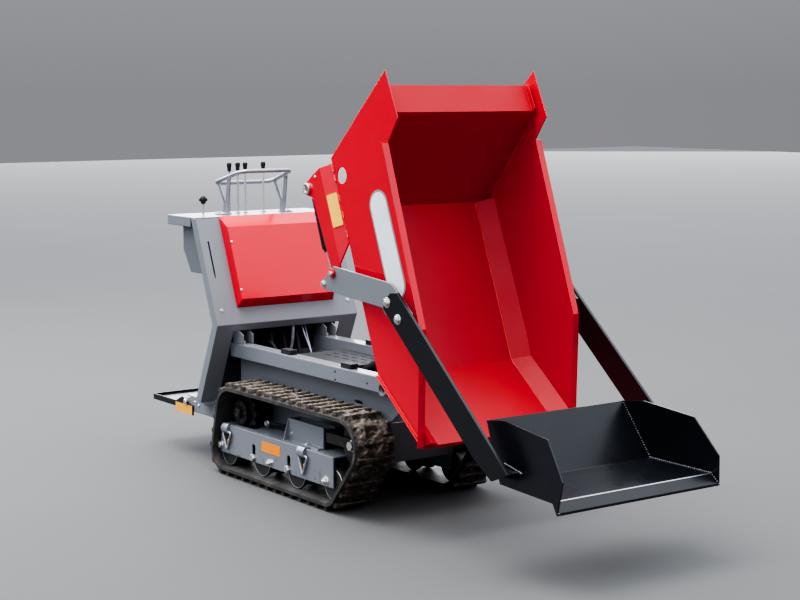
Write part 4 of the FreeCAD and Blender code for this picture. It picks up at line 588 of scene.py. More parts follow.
TRACK_MIDDLE = 0.285
TRACK_HALF = 0.090
BELT_THICKNESS = 0.014
LUG_COUNT = 42
LUG_HEIGHT = 0.020
LUG_HALF_FOOT = 0.0133
LUG_HALF_TIP = 0.0085
LUG_MARGIN = 0.006
LUG_SHOULDER = 0.0005
LUG_WEAR = 0.0022
WEAR_SCALE = 28.0
MUD_EDGE = 0.022                   # the mud between the lugs thins out this near the track's edge
MUD_FILL = 0.0070
CAKED_FILL = 0.0090
CAKED_FROM = 0.04 + ORIGIN_SHIFT   # the mud grows thicker ahead of here
CAKED_RUN = 0.10
MUD_OVER_LUG = 0.003
# Layers of unevenness, columns are depth and features to the metre
RAGGED_LUG = ((0.0030, 45.0), (0.0012, 150.0))
LUMPS = ((0.016, 24.0), (0.009, 62.0))
CLODS = ((0.0024, 120.0), (0.0014, 300.0))
CAKED_CLODS = ((0.0020, 120.0),)
STEPS_PER_LUG = 22
TREAD_ROWS = 40
# Wheels that the belt runs round, columns are x, z and radius
BELT_WHEELS = (
    (-0.745, 0.270, 0.095), (-0.815, 0.100, 0.066), (-0.020, 0.100, 0.066), (0.085, 0.270, 0.095),
)


def belt_stations(count):
    """Evenly spaced points of the belt's outer face, each with its outward direction."""
    headings = []
    lengths = []
    for index, (x1, z1, r1) in enumerate(BELT_WHEELS):
        x2, z2, r2 = BELT_WHEELS[(index + 1) % len(BELT_WHEELS)]
        run = math.hypot(x2 - x1, z2 - z1)
        headings.append(math.atan2(z2 - z1, x2 - x1) - math.pi * 0.5 + math.asin((r1 - r2) / run))
        lengths.append(math.sqrt(run * run - (r1 - r2) ** 2))
    sections = []
    for index, heading in enumerate(headings):
        following = (index + 1) % len(BELT_WHEELS)
        sections.append((lengths[index], index, heading, 0.0))
        sweep = (headings[following] - heading) % (2.0 * math.pi)
        radius = BELT_WHEELS[following][2] + BELT_THICKNESS
        sections.append((sweep * radius, following, heading, 1.0 / radius))
    total = sum(section[0] for section in sections)
    stations = []
    for step in range(count):
        travelled = total * step / count
        for length, wheel, heading, bend in sections:
            if travelled <= length:
                break
            travelled -= length
        x, z, radius = BELT_WHEELS[wheel]
        angle = heading + travelled * bend
        outward = Vector((math.cos(angle), 0.0, math.sin(angle)))
        point = at(x, 0.0, z) + outward * (radius + BELT_THICKNESS)
        if not bend:
            point += Vector((-outward.z, 0.0, outward.x)) * travelled
        stations.append((point, outward))
    return stations, total


def uneven(spot, layers):
    """Unevenness at a spot, summed over its layers."""
    return sum(depth * noise.noise(spot * scale) for depth, scale in layers)


def tread_height(spot, from_lug, across):
    """Height of the muddy tread above the belt, at a distance from a lug's middle and from the track's."""
    ragged = from_lug + uneven(spot, RAGGED_LUG)
    lug = 0.0
    if across < TRACK_HALF - LUG_MARGIN:
        slope = (LUG_HALF_FOOT - ragged) / (LUG_HALF_FOOT - LUG_HALF_TIP)
        worn = LUG_WEAR * max(0.0, noise.noise(spot * WEAR_SCALE + FORWARD))
        lug = (LUG_HEIGHT - worn) * min(1.0, max(0.0, slope))
    inside = min(1.0, max(0.0, (TRACK_HALF - across) / MUD_EDGE))
    caked = min(1.0, max(0.0, (spot.x - CAKED_FROM) / CAKED_RUN))
    fill = MUD_FILL + CAKED_FILL * caked + uneven(spot, LUMPS)
    clods = uneven(spot, CLODS) + caked * uneven(spot, CAKED_CLODS)
    return min(max(lug, max(0.0, fill) * inside) + clods * inside, LUG_HEIGHT + MUD_OVER_LUG)


def muddy_track(name, node, side):
    """A track with its lugs all the way round, mud pressed between them."""
    stations, total = belt_stations(LUG_COUNT * STEPS_PER_LUG)
    pitch = total / LUG_COUNT
    lug_edge = TRACK_HALF - LUG_MARGIN
    lug_top = lug_edge - LUG_SHOULDER
    rows = [-TRACK_HALF, -lug_edge - LUG_SHOULDER]
    rows += [-lug_top + 2.0 * lug_top * row / TREAD_ROWS for row in range(TREAD_ROWS + 1)]
    rows += [lug_edge + LUG_SHOULDER, TRACK_HALF]
    inner_rows = (TRACK_HALF, TRACK_HALF * 0.5, 0.0, -TRACK_HALF * 0.5, -TRACK_HALF)
    piece = Piece(name)
    rings = []
    crests = []
    for index, (point, outward) in enumerate(stations):
        along = total * index / len(stations)
        from_lug = abs((along / pitch + 0.5) % 1.0 - 0.5) * pitch
        ring = []
        for row in rows:
            spot = point + LEFT * (side * TRACK_MIDDLE + row)
            height = tread_height(spot, from_lug, abs(row))
            place = spot + outward * height
            place.z = max(0.0, place.z)
            ring.append(piece.form.verts.new(place))
            crests.append(height / LUG_HEIGHT)
        for row in inner_rows:
            spot = point + LEFT * (side * TRACK_MIDDLE + row)
            ring.append(piece.form.verts.new(spot - outward * BELT_THICKNESS))
            crests.append(0.0)
        rings.append(ring)
    piece.join(rings, closed=True)
    track = piece.finish(MUDDY, "chassis", 50.0, crests)
    track.data.materials.append(BELT)
    for index, face in enumerate(track.data.polygons):
        if index % (len(rows) + len(inner_rows)) >= len(rows) - 1:
            face.material_index = 1
    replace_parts(track, node)


muddy_track("muddy_track_right", "track_right", -1.0)
muddy_track("muddy_track_left", "track_left", 1.0)

# Undercarriage hardware

TRACK_FRAME_FACE = 0.345
TRACK_FRAME_TOP = 0.212
# Bolts on each track frame, columns are x, distance from the middle, z, size and its washer's share
FRAME_BOLTS = (
    (-0.857, TRACK_FRAME_FACE, 0.118, 0.026, 0.70), (-0.595, TRACK_FRAME_FACE - 0.002, 0.107, 0.028, 0.0),
    (-0.327, TRACK_FRAME_FACE - 0.002, 0.107, 0.028, 0.0), (-0.372, 0.300, 0.238, 0.011, 0.78),
    (0.103, 0.324, 0.272, 0.035, 0.68),
)
FRAME_STUDS = (
    (-0.050, TRACK_FRAME_FACE, 0.110, 0.025), (-0.469, TRACK_FRAME_FACE, 0.106, 0.021),
    (-0.448, TRACK_FRAME_FACE, 0.113, 0.014),
)
# Bolts that stand on the frame's flat tops, columns are x, y, z and size
STANDING_BOLTS = ((-0.236, 0.313, 0.218, 0.012), (-0.892, 0.211, 0.536, 0.022))
ROLLER_STATIONS = (-0.815, -0.550, -0.285, -0.020)
ROLLER_HEIGHT = 0.100
ROLLER_FACE = 0.330
RIM_RADIUS = 0.0625
RIM_BAR = 0.0014
RIM_STEPS = 48
MOTOR_FITTING = (-0.620, 0.262, 0.236)
FITTING_SIZE = 0.019
FITTING_RADIUS = 0.0075
FITTING_REACH = (0.008, -0.030)   # its bar, out of the head and into the motor
MOTOR_HOSE_RADIUS = 0.0065
MOTOR_HOSE_START = 0.022          # straight in from the union, then a run ahead and a bend to the end
MOTOR_HOSE_RUN = 0.05
MOTOR_HOSE_BEND = 0.02
MOTOR_HOSE_END = (-0.500, 0.190, 0.232)
HUB_AT = (-0.745, 0.318, 0.270)
HUB_BOLT_CIRCLE = 0.038
HUB_BOLTS = 6
HUB_BOLT_SIZE = 0.011
HUB_CAP_OUT = 0.014
HUB_CAP = ((0.017, 0.0), (0.017, 0.003), (0.012, 0.005), (0.012, 0.002))
RING_STATIONS = (-0.796, -0.204)
RING_HALF = 0.034
RING_TOP = 0.184
RING_LOW = 0.103
RING_BAR = 0.0048
RING_BEND = 0.015
RING_TOP_OFF = 0.009              # off the frame's face, as is the next
RING_LOW_OFF = 0.0075
RING_LEAN = 0.004
# Dark three-cornered sheet behind a ring, painted shade of the ring, and the cap on it, placed by x from
# the ring's station and by z
SHADE_SHEET_AT = (-0.001, 0.160)
SHADE_SHEET_SHARES = (0.86, 0.90)
SHADE_SHEET_THICKNESS = 0.0016
CAP_AT = (0.004, 0.144)
CAP_SECTION = ((0.0095, 0.0010), (0.0090, 0.0040), (0.005, 0.0056))
STRAP_HALF = 0.024
STRAP_SHIFT = -0.012
# Folded strap of a lashing ring: distance out from the frame's face, and height from its top
STRAP_OUTLINE = (
    (-0.040, 0.0), (0.0, 0.0), (0.0, -0.022), (0.002, -0.034), (0.009, -0.035), (0.016, -0.028),
    (0.018, -0.016), (0.014, -0.004), (0.006, 0.005), (-0.040, 0.005),
)


def lashing_ring(rings, straps, shade_sheets, caps, station, side):
    """A three-cornered lifting ring hung from a strap folded over the frame's top edge."""
    face = side * TRACK_FRAME_FACE
    out = LEFT * side
    top = at(station, face, RING_TOP) + out * RING_TOP_OFF
    low = at(station - RING_LEAN, face, RING_LOW) + out * RING_LOW_OFF
    corners = [top - FORWARD * RING_HALF, top + FORWARD * RING_HALF, low]
    rings.tube(smooth_line(corners, RING_BEND, closed=True), RING_BAR, 12, closed=True)
    # A dark sheet behind the ring is painted shade of the ring
    middle = at(station + SHADE_SHEET_AT[0], face, SHADE_SHEET_AT[1])
    wide, high = SHADE_SHEET_SHARES
    across = UP.cross(out).x
    outline = [(across * (corner.x - middle.x) * wide, (corner.z - middle.z) * high) for corner in corners]
    shade_sheets.slab(facing(middle, out), outline, 0.0, SHADE_SHEET_THICKNESS)
    caps.turned(on_side(side, station + CAP_AT[0], TRACK_FRAME_FACE, CAP_AT[1]), CAP_SECTION, 16)
    place = facing(at(station + STRAP_SHIFT - STRAP_HALF, face, TRACK_FRAME_TOP), FORWARD, UP)
    outward = place.inverted().to_3x3() @ out
    outline = [(outward.x * distance, height) for distance, height in STRAP_OUTLINE]
    straps.slab(place, outline, 0.0, STRAP_HALF * 2.0)


def lashing_rings():
    """Rings, straps, dark sheets of painted shade and caps on both track frames."""
    rings = Piece("lashing_rings")
    straps = Piece("ring_straps")
    shade_sheets = Piece("ring_shade_sheets")
    caps = Piece("ring_caps")
    for side in SIDES:
        for station in RING_STATIONS:
            lashing_ring(rings, straps, shade_sheets, caps, station, side)
    rings.finish(WORN_STEEL, "chassis")
    straps.finish(TUBE, "chassis")
    shade_sheets.finish(PAD, "chassis")
    caps.finish(CAP_ORANGE, "chassis")


def motor_fitting(bolts, hoses, side):
    """The union on a drive motor, and the hose that runs from it into the tub."""
    out = LEFT * side
    x, y, z = MOTOR_FITTING
    fitting = at(x, side * y, z)
    bolts.hex_head(facing(fitting, out), FITTING_SIZE)
    bolts.tube([fitting + out * distance for distance in FITTING_REACH], FITTING_RADIUS, 14)
    x, y, z = MOTOR_HOSE_END
    run = [fitting, fitting - out * MOTOR_HOSE_START + FORWARD * MOTOR_HOSE_RUN, at(x, side * y, z)]
    hoses.tube(smooth_line(run, MOTOR_HOSE_BEND), MOTOR_HOSE_RADIUS, 10)


def undercarriage_hardware():
    """Bolts of the track frames, worn roller rims, hub bolts and hoses of the motors."""
    bolts = Piece("undercarriage_bolts")
    rims = Piece("worn_roller_rims")
    hub = Piece("hub_bolts")
    hoses = Piece("motor_hoses")
    for side in SIDES:
        for x, y, z, size, washer in FRAME_BOLTS:
            bolts.hex_head(on_side(side, x, y, z), size, washer)
        for x, y, z, size in FRAME_STUDS:
            bolts.stud_end(on_side(side, x, y, z), size)
        for x, y, z, size in STANDING_BOLTS:
            bolts.hex_head(facing(at(x, side * y, z), UP, FORWARD), size)
        for station in ROLLER_STATIONS:
            rim = circle(station, side * ROLLER_FACE, ROLLER_HEIGHT, RIM_RADIUS, RIM_STEPS)
            rims.tube(rim, RIM_BAR, 6, closed=True)
        motor_fitting(bolts, hoses, side)
        x, y, z = HUB_AT
        for spot in circle(x, side * y, z, HUB_BOLT_CIRCLE, HUB_BOLTS):
            hub.hex_head(facing(spot, LEFT * side), HUB_BOLT_SIZE)
        hub.turned(on_side(side, x, y + HUB_CAP_OUT, z), HUB_CAP, 24)
    bolts.finish(ZINC, "chassis")
    rims.finish(WORN_STEEL, "chassis")
    hub.finish(DARK_IRON, "chassis")
    hoses.finish(HOSE, "chassis")


lashing_rings()
undercarriage_hardware()


# Console, handrail and step hardware

HOOD_SCREW_SIDES = 0.229
HOOD_SCREW_HEIGHTS = (0.140, 0.353)
HOOD_SCREW_RADIUS = 0.006
FACE_BOLT = (0.066, 0.321)        # distance up the face, and from the middle
FACE_BOLT_SIZE = 0.010
POST_FOOT_X = -1.143
POST_FOOT_BOLTS = 0.019           # bolts before and behind the post
POST_FOOT_Y = 0.166
POST_FOOT_TOP = CONSOLE_TOP + 0.005
POST_BOLT_SIZE = 0.013
STEP_HINGE = (-1.243, 0.306, 0.240)
HINGE_CAP = ((0.013, -0.004), (0.013, 0.002), (0.010, 0.0055), (0.004, 0.007))
STEP_FRAME_SCREW = (-1.142, 0.294, 0.235)
STEP_SCREW_RADIUS = 0.007


def console_hardware():
    """Screws of the hood, the face, the handrail's feet and the step's frame, and the hinge caps."""
    screws = Piece("console_screws")
    hinges = Piece("step_hinge_caps")
    for side in SIDES:
        for distance in HOOD_SCREW_HEIGHTS:
            spot = face_at(distance, side * HOOD_SCREW_SIDES, HOOD_DEPTH)
            screws.button(facing(spot, FACE_OUT), HOOD_SCREW_RADIUS)
        distance, y = FACE_BOLT
        screws.hex_head(facing(face_at(distance, side * y, 0.0), FACE_OUT), FACE_BOLT_SIZE)
        for offset in (-POST_FOOT_BOLTS, POST_FOOT_BOLTS):
            spot = at(POST_FOOT_X + offset, side * POST_FOOT_Y, POST_FOOT_TOP)
            screws.hex_head(facing(spot, UP, FORWARD), POST_BOLT_SIZE)
        screws.button(on_side(side, *STEP_FRAME_SCREW), STEP_SCREW_RADIUS)
        hinges.turned(on_side(side, *STEP_HINGE), HINGE_CAP, 24)
    screws.finish(ZINC, "chassis")
    hinges.finish(ZINC, "chassis")


console_hardware()

LEVER_X = -1.182
LEVER_SIDES = (-0.103, -0.060, -0.022, 0.071)
LEVER_TOP = CONSOLE_TOP + 0.224
GRIP_LENGTH = 0.038
GRIP_RADIUS = 0.0112
STEM_RADIUS = 0.0048
STEM_STOP = 0.8               # of the grip's length, down from its top
STEM_FOOT = ((0.011, 0.0), (0.011, 0.003), (0.007, 0.006))
SPEED_LEVER = (-1.245, -0.200)
SPEED_KNOB_TOP = CONSOLE_TOP + 0.077
KNOB_DEPTH = 0.034
KNOB_LOBES = 6
KNOB_STEPS = KNOB_LOBES * 8
# Half section of the knob, columns are radius between lobes, radius at lobes and share of its depth
KNOB_SECTION = (
    (0.0085, 0.0085, 0.0), (0.0100, 0.0110, 0.06), (0.0105, 0.0120, 0.28), (0.0125, 0.0200, 0.36),
    (0.0130, 0.0210, 0.48), (0.0130, 0.0210, 0.62), (0.0120, 0.0190, 0.74), (0.0110, 0.0125, 0.80),
    (0.0100, 0.0105, 0.96), (0.0060, 0.0060, 1.0),
)
# Half section of a lever's grip, columns are share of its radius and share of its length
GRIP_SECTION = (
    (0.55, 0.0), (0.74, 0.03), (0.78, 0.12), (0.76, 0.30), (0.86, 0.52), (1.0, 0.70), (1.0, 0.84),
    (0.80, 0.97), (0.3, 1.0),
)


def levers():
    """Control levers: plated stems, moulded grips and a knob with finger notches."""
    stems = Piece("lever_stems")
    grips = Piece("lever_grips")
    for y in LEVER_SIDES:
        foot = at(LEVER_X, y, CONSOLE_TOP)
        top = at(LEVER_X, y, LEVER_TOP)
        stems.tube([foot, top - UP * GRIP_LENGTH * STEM_STOP], STEM_RADIUS, 12)
        stems.turned(facing(foot, UP, FORWARD), STEM_FOOT, 20)
        place = facing(top - UP * GRIP_LENGTH, UP, FORWARD)
        section = [(GRIP_RADIUS * radius, GRIP_LENGTH * height) for radius, height in GRIP_SECTION]
        grips.turned(place, section, 24)
    x, y = SPEED_LEVER
    stems.tube([at(x, y, CONSOLE_TOP), at(x, y, SPEED_KNOB_TOP - KNOB_DEPTH * 0.5)], STEM_RADIUS, 12)
    place = facing(at(x, y, SPEED_KNOB_TOP - KNOB_DEPTH), UP, FORWARD)
    rings = []
    for between, lobed, height in KNOB_SECTION:
        ring = []
        for step in range(KNOB_STEPS):
            angle = 2.0 * math.pi * step / KNOB_STEPS
            radius = between + (lobed - between) * (0.5 + 0.5 * math.cos(KNOB_LOBES * angle))
            spot = Vector((radius * math.cos(angle), radius * math.sin(angle), KNOB_DEPTH * height))
            ring.append(grips.form.verts.new(place @ spot))
        rings.append(ring)
    grips.join(rings)
    stems.finish(STEM, "chassis")
    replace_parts(grips.finish(GRIP, "chassis"), "levers")


levers()

# Cross plate behind the console's legs, set back from their front face, near black as painted shade
CROSS_PLATE_HALF = 0.300
CROSS_PLATE_TOP = 0.619
CROSS_PLATE_LOW = 0.330
CROSS_PLATE_SETBACK = 0.078
CROSS_PLATE_SHEET = 0.004
CROSS_PLATE_CORNER = 0.004
LEG_RAKE = 0.442                  # how far the legs lean back for each unit down from the knee


def cross_plate():
    """Sheet between the legs that closes the gap under the console, near black as painted shade."""
    corners = []
    for z in (CROSS_PLATE_TOP, CROSS_PLATE_LOW):
        x = CONSOLE_KNEE[0] - CROSS_PLATE_SETBACK - (CONSOLE_KNEE[1] - z) * LEG_RAKE
        corners.append(at(x, 0.0, z))
    plate = Piece("cross_plate")
    middle = corners[0].lerp(corners[1], 0.5)
    rise = (corners[0] - corners[1]).normalized()
    place = facing(middle, LEFT.cross(rise), rise)
    length = (corners[0] - corners[1]).length
    outline = rounded_rectangle(CROSS_PLATE_HALF * 2.0, length, CROSS_PLATE_CORNER)
    plate.slab(place, outline, 0.0, CROSS_PLATE_SHEET)
    plate.finish(PAINTED_SHADE_GREY, "chassis")


cross_plate()

# Hoses and cables in the gap under the console: name, radius, material, then points of x, y and z
GAP_LINES = (
    # This hose is dark rubber drawn in mid blue-grey, a painted highlight along its length
    ("hose_with_painted_highlight", 0.0065, CABLE_GREY_AND_HOSE_HIGHLIGHT, (
        (-0.885, 0.035, 0.618), (-0.880, 0.035, 0.560), (-0.905, 0.035, 0.480), (-0.930, 0.035, 0.340),
        (-0.900, 0.032, 0.180),
    )),
    ("arched_hose", 0.008, HOSE, (
        (-0.940, -0.100, 0.520), (-0.925, -0.085, 0.545), (-0.860, -0.065, 0.510), (-0.830, -0.050, 0.380),
        (-0.815, -0.040, 0.180),
    )),
    ("first_cable", 0.0030, CABLE_GREY_AND_HOSE_HIGHLIGHT, (
        (-0.915, 0.090, 0.618), (-0.880, 0.085, 0.562), (-0.790, 0.080, 0.467), (-0.740, 0.075, 0.300),
    )),
    ("second_cable", 0.0030, CABLE_GREY_AND_HOSE_HIGHLIGHT, (
        (-0.915, 0.110, 0.618), (-0.890, 0.105, 0.560), (-0.830, 0.100, 0.468), (-0.780, 0.095, 0.300),
    )),
)


def soft_line(name, radius, paint, points):
    """A smooth round hose or cable through the tub."""
    curve = bpy.data.curves.new(name, "CURVE")
    curve.dimensions = "3D"
    curve.bevel_depth = radius
    curve.bevel_resolution = 3
    curve.resolution_u = 12
    curve.use_fill_caps = True
    spline = curve.splines.new("NURBS")
    spline.points.add(len(points) - 1)
    for spot, (x, y, z) in zip(spline.points, points):
        spot.co = (*at(x, y, z), 1.0)
    spline.order_u = 3
    spline.use_endpoint_u = True
    curve.materials.append(paint)
    line = bpy.data.objects.new(name, curve)
    bpy.context.scene.collection.objects.link(line)
    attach(line, "chassis")


for gap_line in GAP_LINES:
    soft_line(*gap_line)


# Skip welds, pin ends and blank plates

STRIP_FOOT = 0.282            # where the corner strips meet the floor
STRIP_RISE = 0.050
FLOOR_REAR_U = 0.200
FOLD_U = 0.845
LIP_U = 1.153
LIP_N = 0.181
REAR_TOP = (-0.028, 0.408)
BRACKET_FACE = 0.374
BRACKET_REACH = (0.028, -0.050)   # sloping shelf: outward and down from the side plate
LIFT_BASE = (0.0685, -0.155)
LIFT_EYE = (0.444, -0.159)
LIFT_CENTRE = 0.337
LIFT_BARREL_RADIUS = 0.024
LIFT_PORT = 0.088                 # along the barrel, to the union of its oil pipe
PORT_SIZE = 0.017
PORT_SINK = 0.002
PIPE_PATH = ((0.0, 0.0), (0.020, 0.0), (0.020, 0.022))   # down from the union, and along
PIPE_BEND = 0.012
PIPE_RADIUS = 0.0048
BRACKET_SCREW = (0.043, -0.090)
BRACKET_SCREW_RADIUS = 0.006
# Section of a pin's hollowed end, columns are radius and height off the bracket
PIN_END = (
    (0.0215, 0.0), (0.0220, 0.002), (0.0220, 0.009), (0.0205, 0.011), (0.0150, 0.011), (0.0140, 0.006),
)
# Stitch welds between the bracket's shelf and the side plate, start and end along the floor
SHELF_STITCHES = ((0.030, 0.052), (0.072, 0.090), (0.150, 0.172), (0.215, 0.235), (0.290, 0.312))
# Where the long welds start and stop, as u and n
STRIP_WELD_START = 0.206
STRIP_EDGE_START = 0.180
RAMP_WELD_END = (1.143, 0.179)
WALL_WELD = ((0.170, 0.062), (-0.028, 0.406))
SHELF_WELD_OFF = 0.0015
SHELF_WELD_RISE = 0.001
# Size of a weld's drops, with their pitch where they lie further apart than usual
STRIP_DROPS = (0.0042, 0.0085)
RAMP_DROPS = (0.0036, 0.0075)
EDGE_DROPS = 0.0026
WALL_DROPS = 0.0030
SHELF_DROPS = 0.0036
LEAN = 0.6                        # a weld faces this much towards the lesser of its two sheets


def skip_welds():
    """Beads along the corner strips, the rear wall and the bracket shelves."""
    high_half = SKIP_HALF - SKIP_SHEET
    lift = skip_way(0.0, 0.0, 1.0)
    ramp_lift = skip_way(-LIP_N, 0.0, LIP_U - FOLD_U).normalized()
    wall_out = skip_way(REAR_TOP[1], 0.0, FLOOR_REAR_U - REAR_TOP[0]).normalized()
    welds = Piece("skip_welds")
    for side in SIDES:
        low = side * STRIP_FOOT
        high = side * high_half
        inward = LEFT * -side
        fold = skip_at(FOLD_U, low, SKIP_SHEET)
        lip_u, lip_n = RAMP_WELD_END
        welds.bead(skip_at(STRIP_WELD_START, low, SKIP_SHEET), fold, lift + inward * LEAN, *STRIP_DROPS)
        welds.bead(fold, skip_at(lip_u, low, lip_n), ramp_lift + inward * LEAN, *RAMP_DROPS)
        edge_end = skip_at(FOLD_U, high, STRIP_RISE + SKIP_SHEET)
        welds.bead(skip_at(STRIP_EDGE_START, high, STRIP_RISE), edge_end, inward + lift * LEAN, EDGE_DROPS)
        welds.bead(fold, skip_at(FOLD_U, high, STRIP_RISE), lift + inward, EDGE_DROPS)
        foot, top = (skip_at(u, high, n) for u, n in WALL_WELD)
        welds.bead(foot, top, wall_out + inward, WALL_DROPS)
        outer = side * (SKIP_HALF + SHELF_WELD_OFF)
        for stitch in SHELF_STITCHES:
            start, end = (skip_at(u, outer, SHELF_WELD_RISE) for u in stitch)
            welds.bead(start, end, lift - inward, SHELF_DROPS)
    # The beads' lighter red is a painted highlight
    welds.finish(HIGHLIGHTED_WELD_RED, "skip", 60.0)


def lift_port(name, side):
    """Union and short pipe under a lift cylinder's barrel."""
    along = skip_way(LIFT_EYE[0] - LIFT_BASE[0], 0.0, LIFT_EYE[1] - LIFT_BASE[1]).normalized()
    below = skip_way(0.0, 0.0, -1.0)
    base = skip_at(LIFT_BASE[0], side * LIFT_CENTRE, LIFT_BASE[1])
    foot = base + along * LIFT_PORT + below * (LIFT_BARREL_RADIUS - PORT_SINK)
    pipe = [foot + below * down + along * ahead for down, ahead in PIPE_PATH]
    port = Piece("lift_ports_" + name)
    port.hex_head(facing(foot, below, along), PORT_SIZE)
    port.tube(smooth_line(pipe, PIPE_BEND), PIPE_RADIUS, 12)
    port.finish(ZINC, "lift_barrel_" + name)


def skip_hardware():
    """Pin ends and screws on the brackets, and the lift cylinders' ports."""
    pins = Piece("skip_pin_ends")
    for side in SIDES:
        pin = skip_at(LIFT_BASE[0], side * BRACKET_FACE, LIFT_BASE[1])
        pins.turned(facing(pin, LEFT * side), PIN_END, 32)
        screw = skip_at(BRACKET_SCREW[0], side * BRACKET_FACE, BRACKET_SCREW[1])
        pins.button(facing(screw, LEFT * side), BRACKET_SCREW_RADIUS)
    pins.finish(ZINC, "skip")
    lift_port("right", -1.0)
    lift_port("left", 1.0)


skip_welds()
skip_hardware()

# Blank side plate, an upright oval with a grey rim
OVAL_MIDDLE = (0.4150, 0.233)
OVAL_RADIUS = 0.057
OVAL_LENGTH = 0.303 + OVAL_RADIUS * 2.0
OVAL_RIM = 0.008
# Other blank plates: length, height and corner
SHELF_PLATE = (0.127, 0.044, 0.003)
FRAME_PLATE = (0.142, 0.042, 0.003)
STEP_PLATE = (0.150, 0.040, 0.002)
SHELF_PLATE_U = 0.1965
FRAME_PLATE_AT = (-0.457, TRACK_FRAME_FACE, 0.167)
STEP_PLATE_AT = (-1.268, 0.300, 0.206)
# Lower and upper face of each, off the surface that it lies on
RIM_FACES = (-0.0002, 0.0008)
OVAL_FACES = (0.0004, 0.0014)
SHELF_PLATE_FACES = (-0.0006, 0.0012)
FLAT_PLATE_FACES = (-0.0002, 0.0009)


def blank_plate(name, place, outline, faces, paint, body):
    """A thin plate with nothing on it."""
    plate = Piece(name)
    plate.slab(place, outline, *faces)
    plate.finish(paint, body)


def blank_plates():
    """The plates on the side that shows, all left blank."""
    middle = skip_at(OVAL_MIDDLE[0], NEAR * SKIP_HALF, OVAL_MIDDLE[1])
    place = facing(middle, LEFT * NEAR, skip_way(0.0, 0.0, 1.0))
    rim = rounded_rectangle(OVAL_LENGTH, OVAL_RADIUS * 2.0, OVAL_RADIUS, 16)
    blank_plate("oval_plate_rim", place, rim, RIM_FACES, RIM_PLATE, "skip")
    half = OVAL_RADIUS - OVAL_RIM
    oval = rounded_rectangle(OVAL_LENGTH - OVAL_RIM * 2.0, half * 2.0, half, 16)
    blank_plate("oval_plate", place, oval, OVAL_FACES, WHITE_PLATE, "skip")
    across, down = BRACKET_REACH
    slope = skip_way(0.0, NEAR * across, down)
    shelf_out = slope.cross(skip_way(1.0, 0.0, 0.0)).normalized()
    place = facing(skip_at(SHELF_PLATE_U, NEAR * SKIP_HALF, 0.0) + slope * 0.5, shelf_out, slope)
    outline = rounded_rectangle(*SHELF_PLATE)
    blank_plate("shelf_plate", place, outline, SHELF_PLATE_FACES, PALE_YELLOW, "skip")
    place = on_side(NEAR, *FRAME_PLATE_AT)
    outline = rounded_rectangle(*FRAME_PLATE)
    blank_plate("track_frame_plate", place, outline, FLAT_PLATE_FACES, ORANGE, "chassis")
    place = on_side(NEAR, *STEP_PLATE_AT)
    outline = rounded_rectangle(*STEP_PLATE)
    blank_plate("step_plate", place, outline, FLAT_PLATE_FACES, OCHRE, "step_platform")


blank_plates()


# Loader bolts, welds and a painted highlight along the fold

PLATE_FACE = 0.392
BAR_FACE = 0.404
ARM_PIN_END = 0.401
ARM_NUT_SIZE = 0.017
ROD_PIN = (-0.0658, -0.0460)
ROD_NUT_SIZE = 0.018
BAR_BOLTS = ((0.364, -0.073), (0.430, -0.127))
# Turned forms of a bolt in a bar: how many sides, then a section of radius and height
BAR_BOLT = (
    (32, ((0.0190, 0.0), (0.0190, 0.0014), (0.0182, 0.0020))),
    (6, ((0.0148, 0.0016), (0.0148, 0.0080), (0.0134, 0.0092))),
    (20, ((0.0080, 0.0086), (0.0078, 0.0100), (0.0058, 0.0112), (0.0020, 0.0116))),
)
SHOVEL_HALF = 0.2138          # at the arms' pivot, from where it grows forward and down
SHOVEL_FLARE_X = 0.0557
SHOVEL_FLARE_Z = -0.129
SHOVEL_SHEET = 0.006
# Corners of the shovel's section as x and z from the arms' pivot
FLOOR_BACK = (0.944, -0.6275)
FLOOR_FRONT = (1.2256, -0.6345)
BLADE_EDGE = (1.258, -0.668)
BACK_TOP = (0.831, -0.4365)
HIGHLIGHT_WIDTH = 0.0035           # bright steel strip along the fold before the blade, a painted highlight of the bend
HIGHLIGHT_THICKNESS = 0.0012
CHEEK_WELD = ((0.954, -0.562), (1.050, -0.577))
CHEEK_DROPS = 0.0045
SEAM_DROPS = (0.0050, 0.0090)
# Welds inside the shovel: start, end and the way its corner opens
SHOVEL_SEAMS = (
    (FLOOR_BACK, FLOOR_FRONT, UP), (FLOOR_BACK, BACK_TOP, FORWARD), (FLOOR_FRONT, BLADE_EDGE, UP),
)


def shovel_at(side, x, z, off=0.0):
    """A point on the shovel's cheek, off it by a distance."""
    half = SHOVEL_HALF + SHOVEL_FLARE_X * x + SHOVEL_FLARE_Z * z
    return loader_at(x, side * (half + off), z)


def arm_bolts():
    """Bolts that join the bars to the lift plates, and the nuts on the loader's pins."""
    bolts = Piece("arm_bolts")
    nuts = Piece("arm_pin_nuts")
    for side in SIDES:
        out = LEFT * side
        for x, z in BAR_BOLTS:
            place = facing(loader_at(x, side * BAR_FACE, z), out)
            for sides, section in BAR_BOLT:
                bolts.turned(place, section, sides)
        nuts.hex_head(facing(loader_at(0.0, side * ARM_PIN_END, 0.0), out), ARM_NUT_SIZE, 0.0)
        nuts.hex_head(facing(loader_at(ROD_PIN[0], side * PLATE_FACE, ROD_PIN[1]), out), ROD_NUT_SIZE)
    bolts.finish(ZINC, "loader")
    nuts.finish(ZINC, "loader")


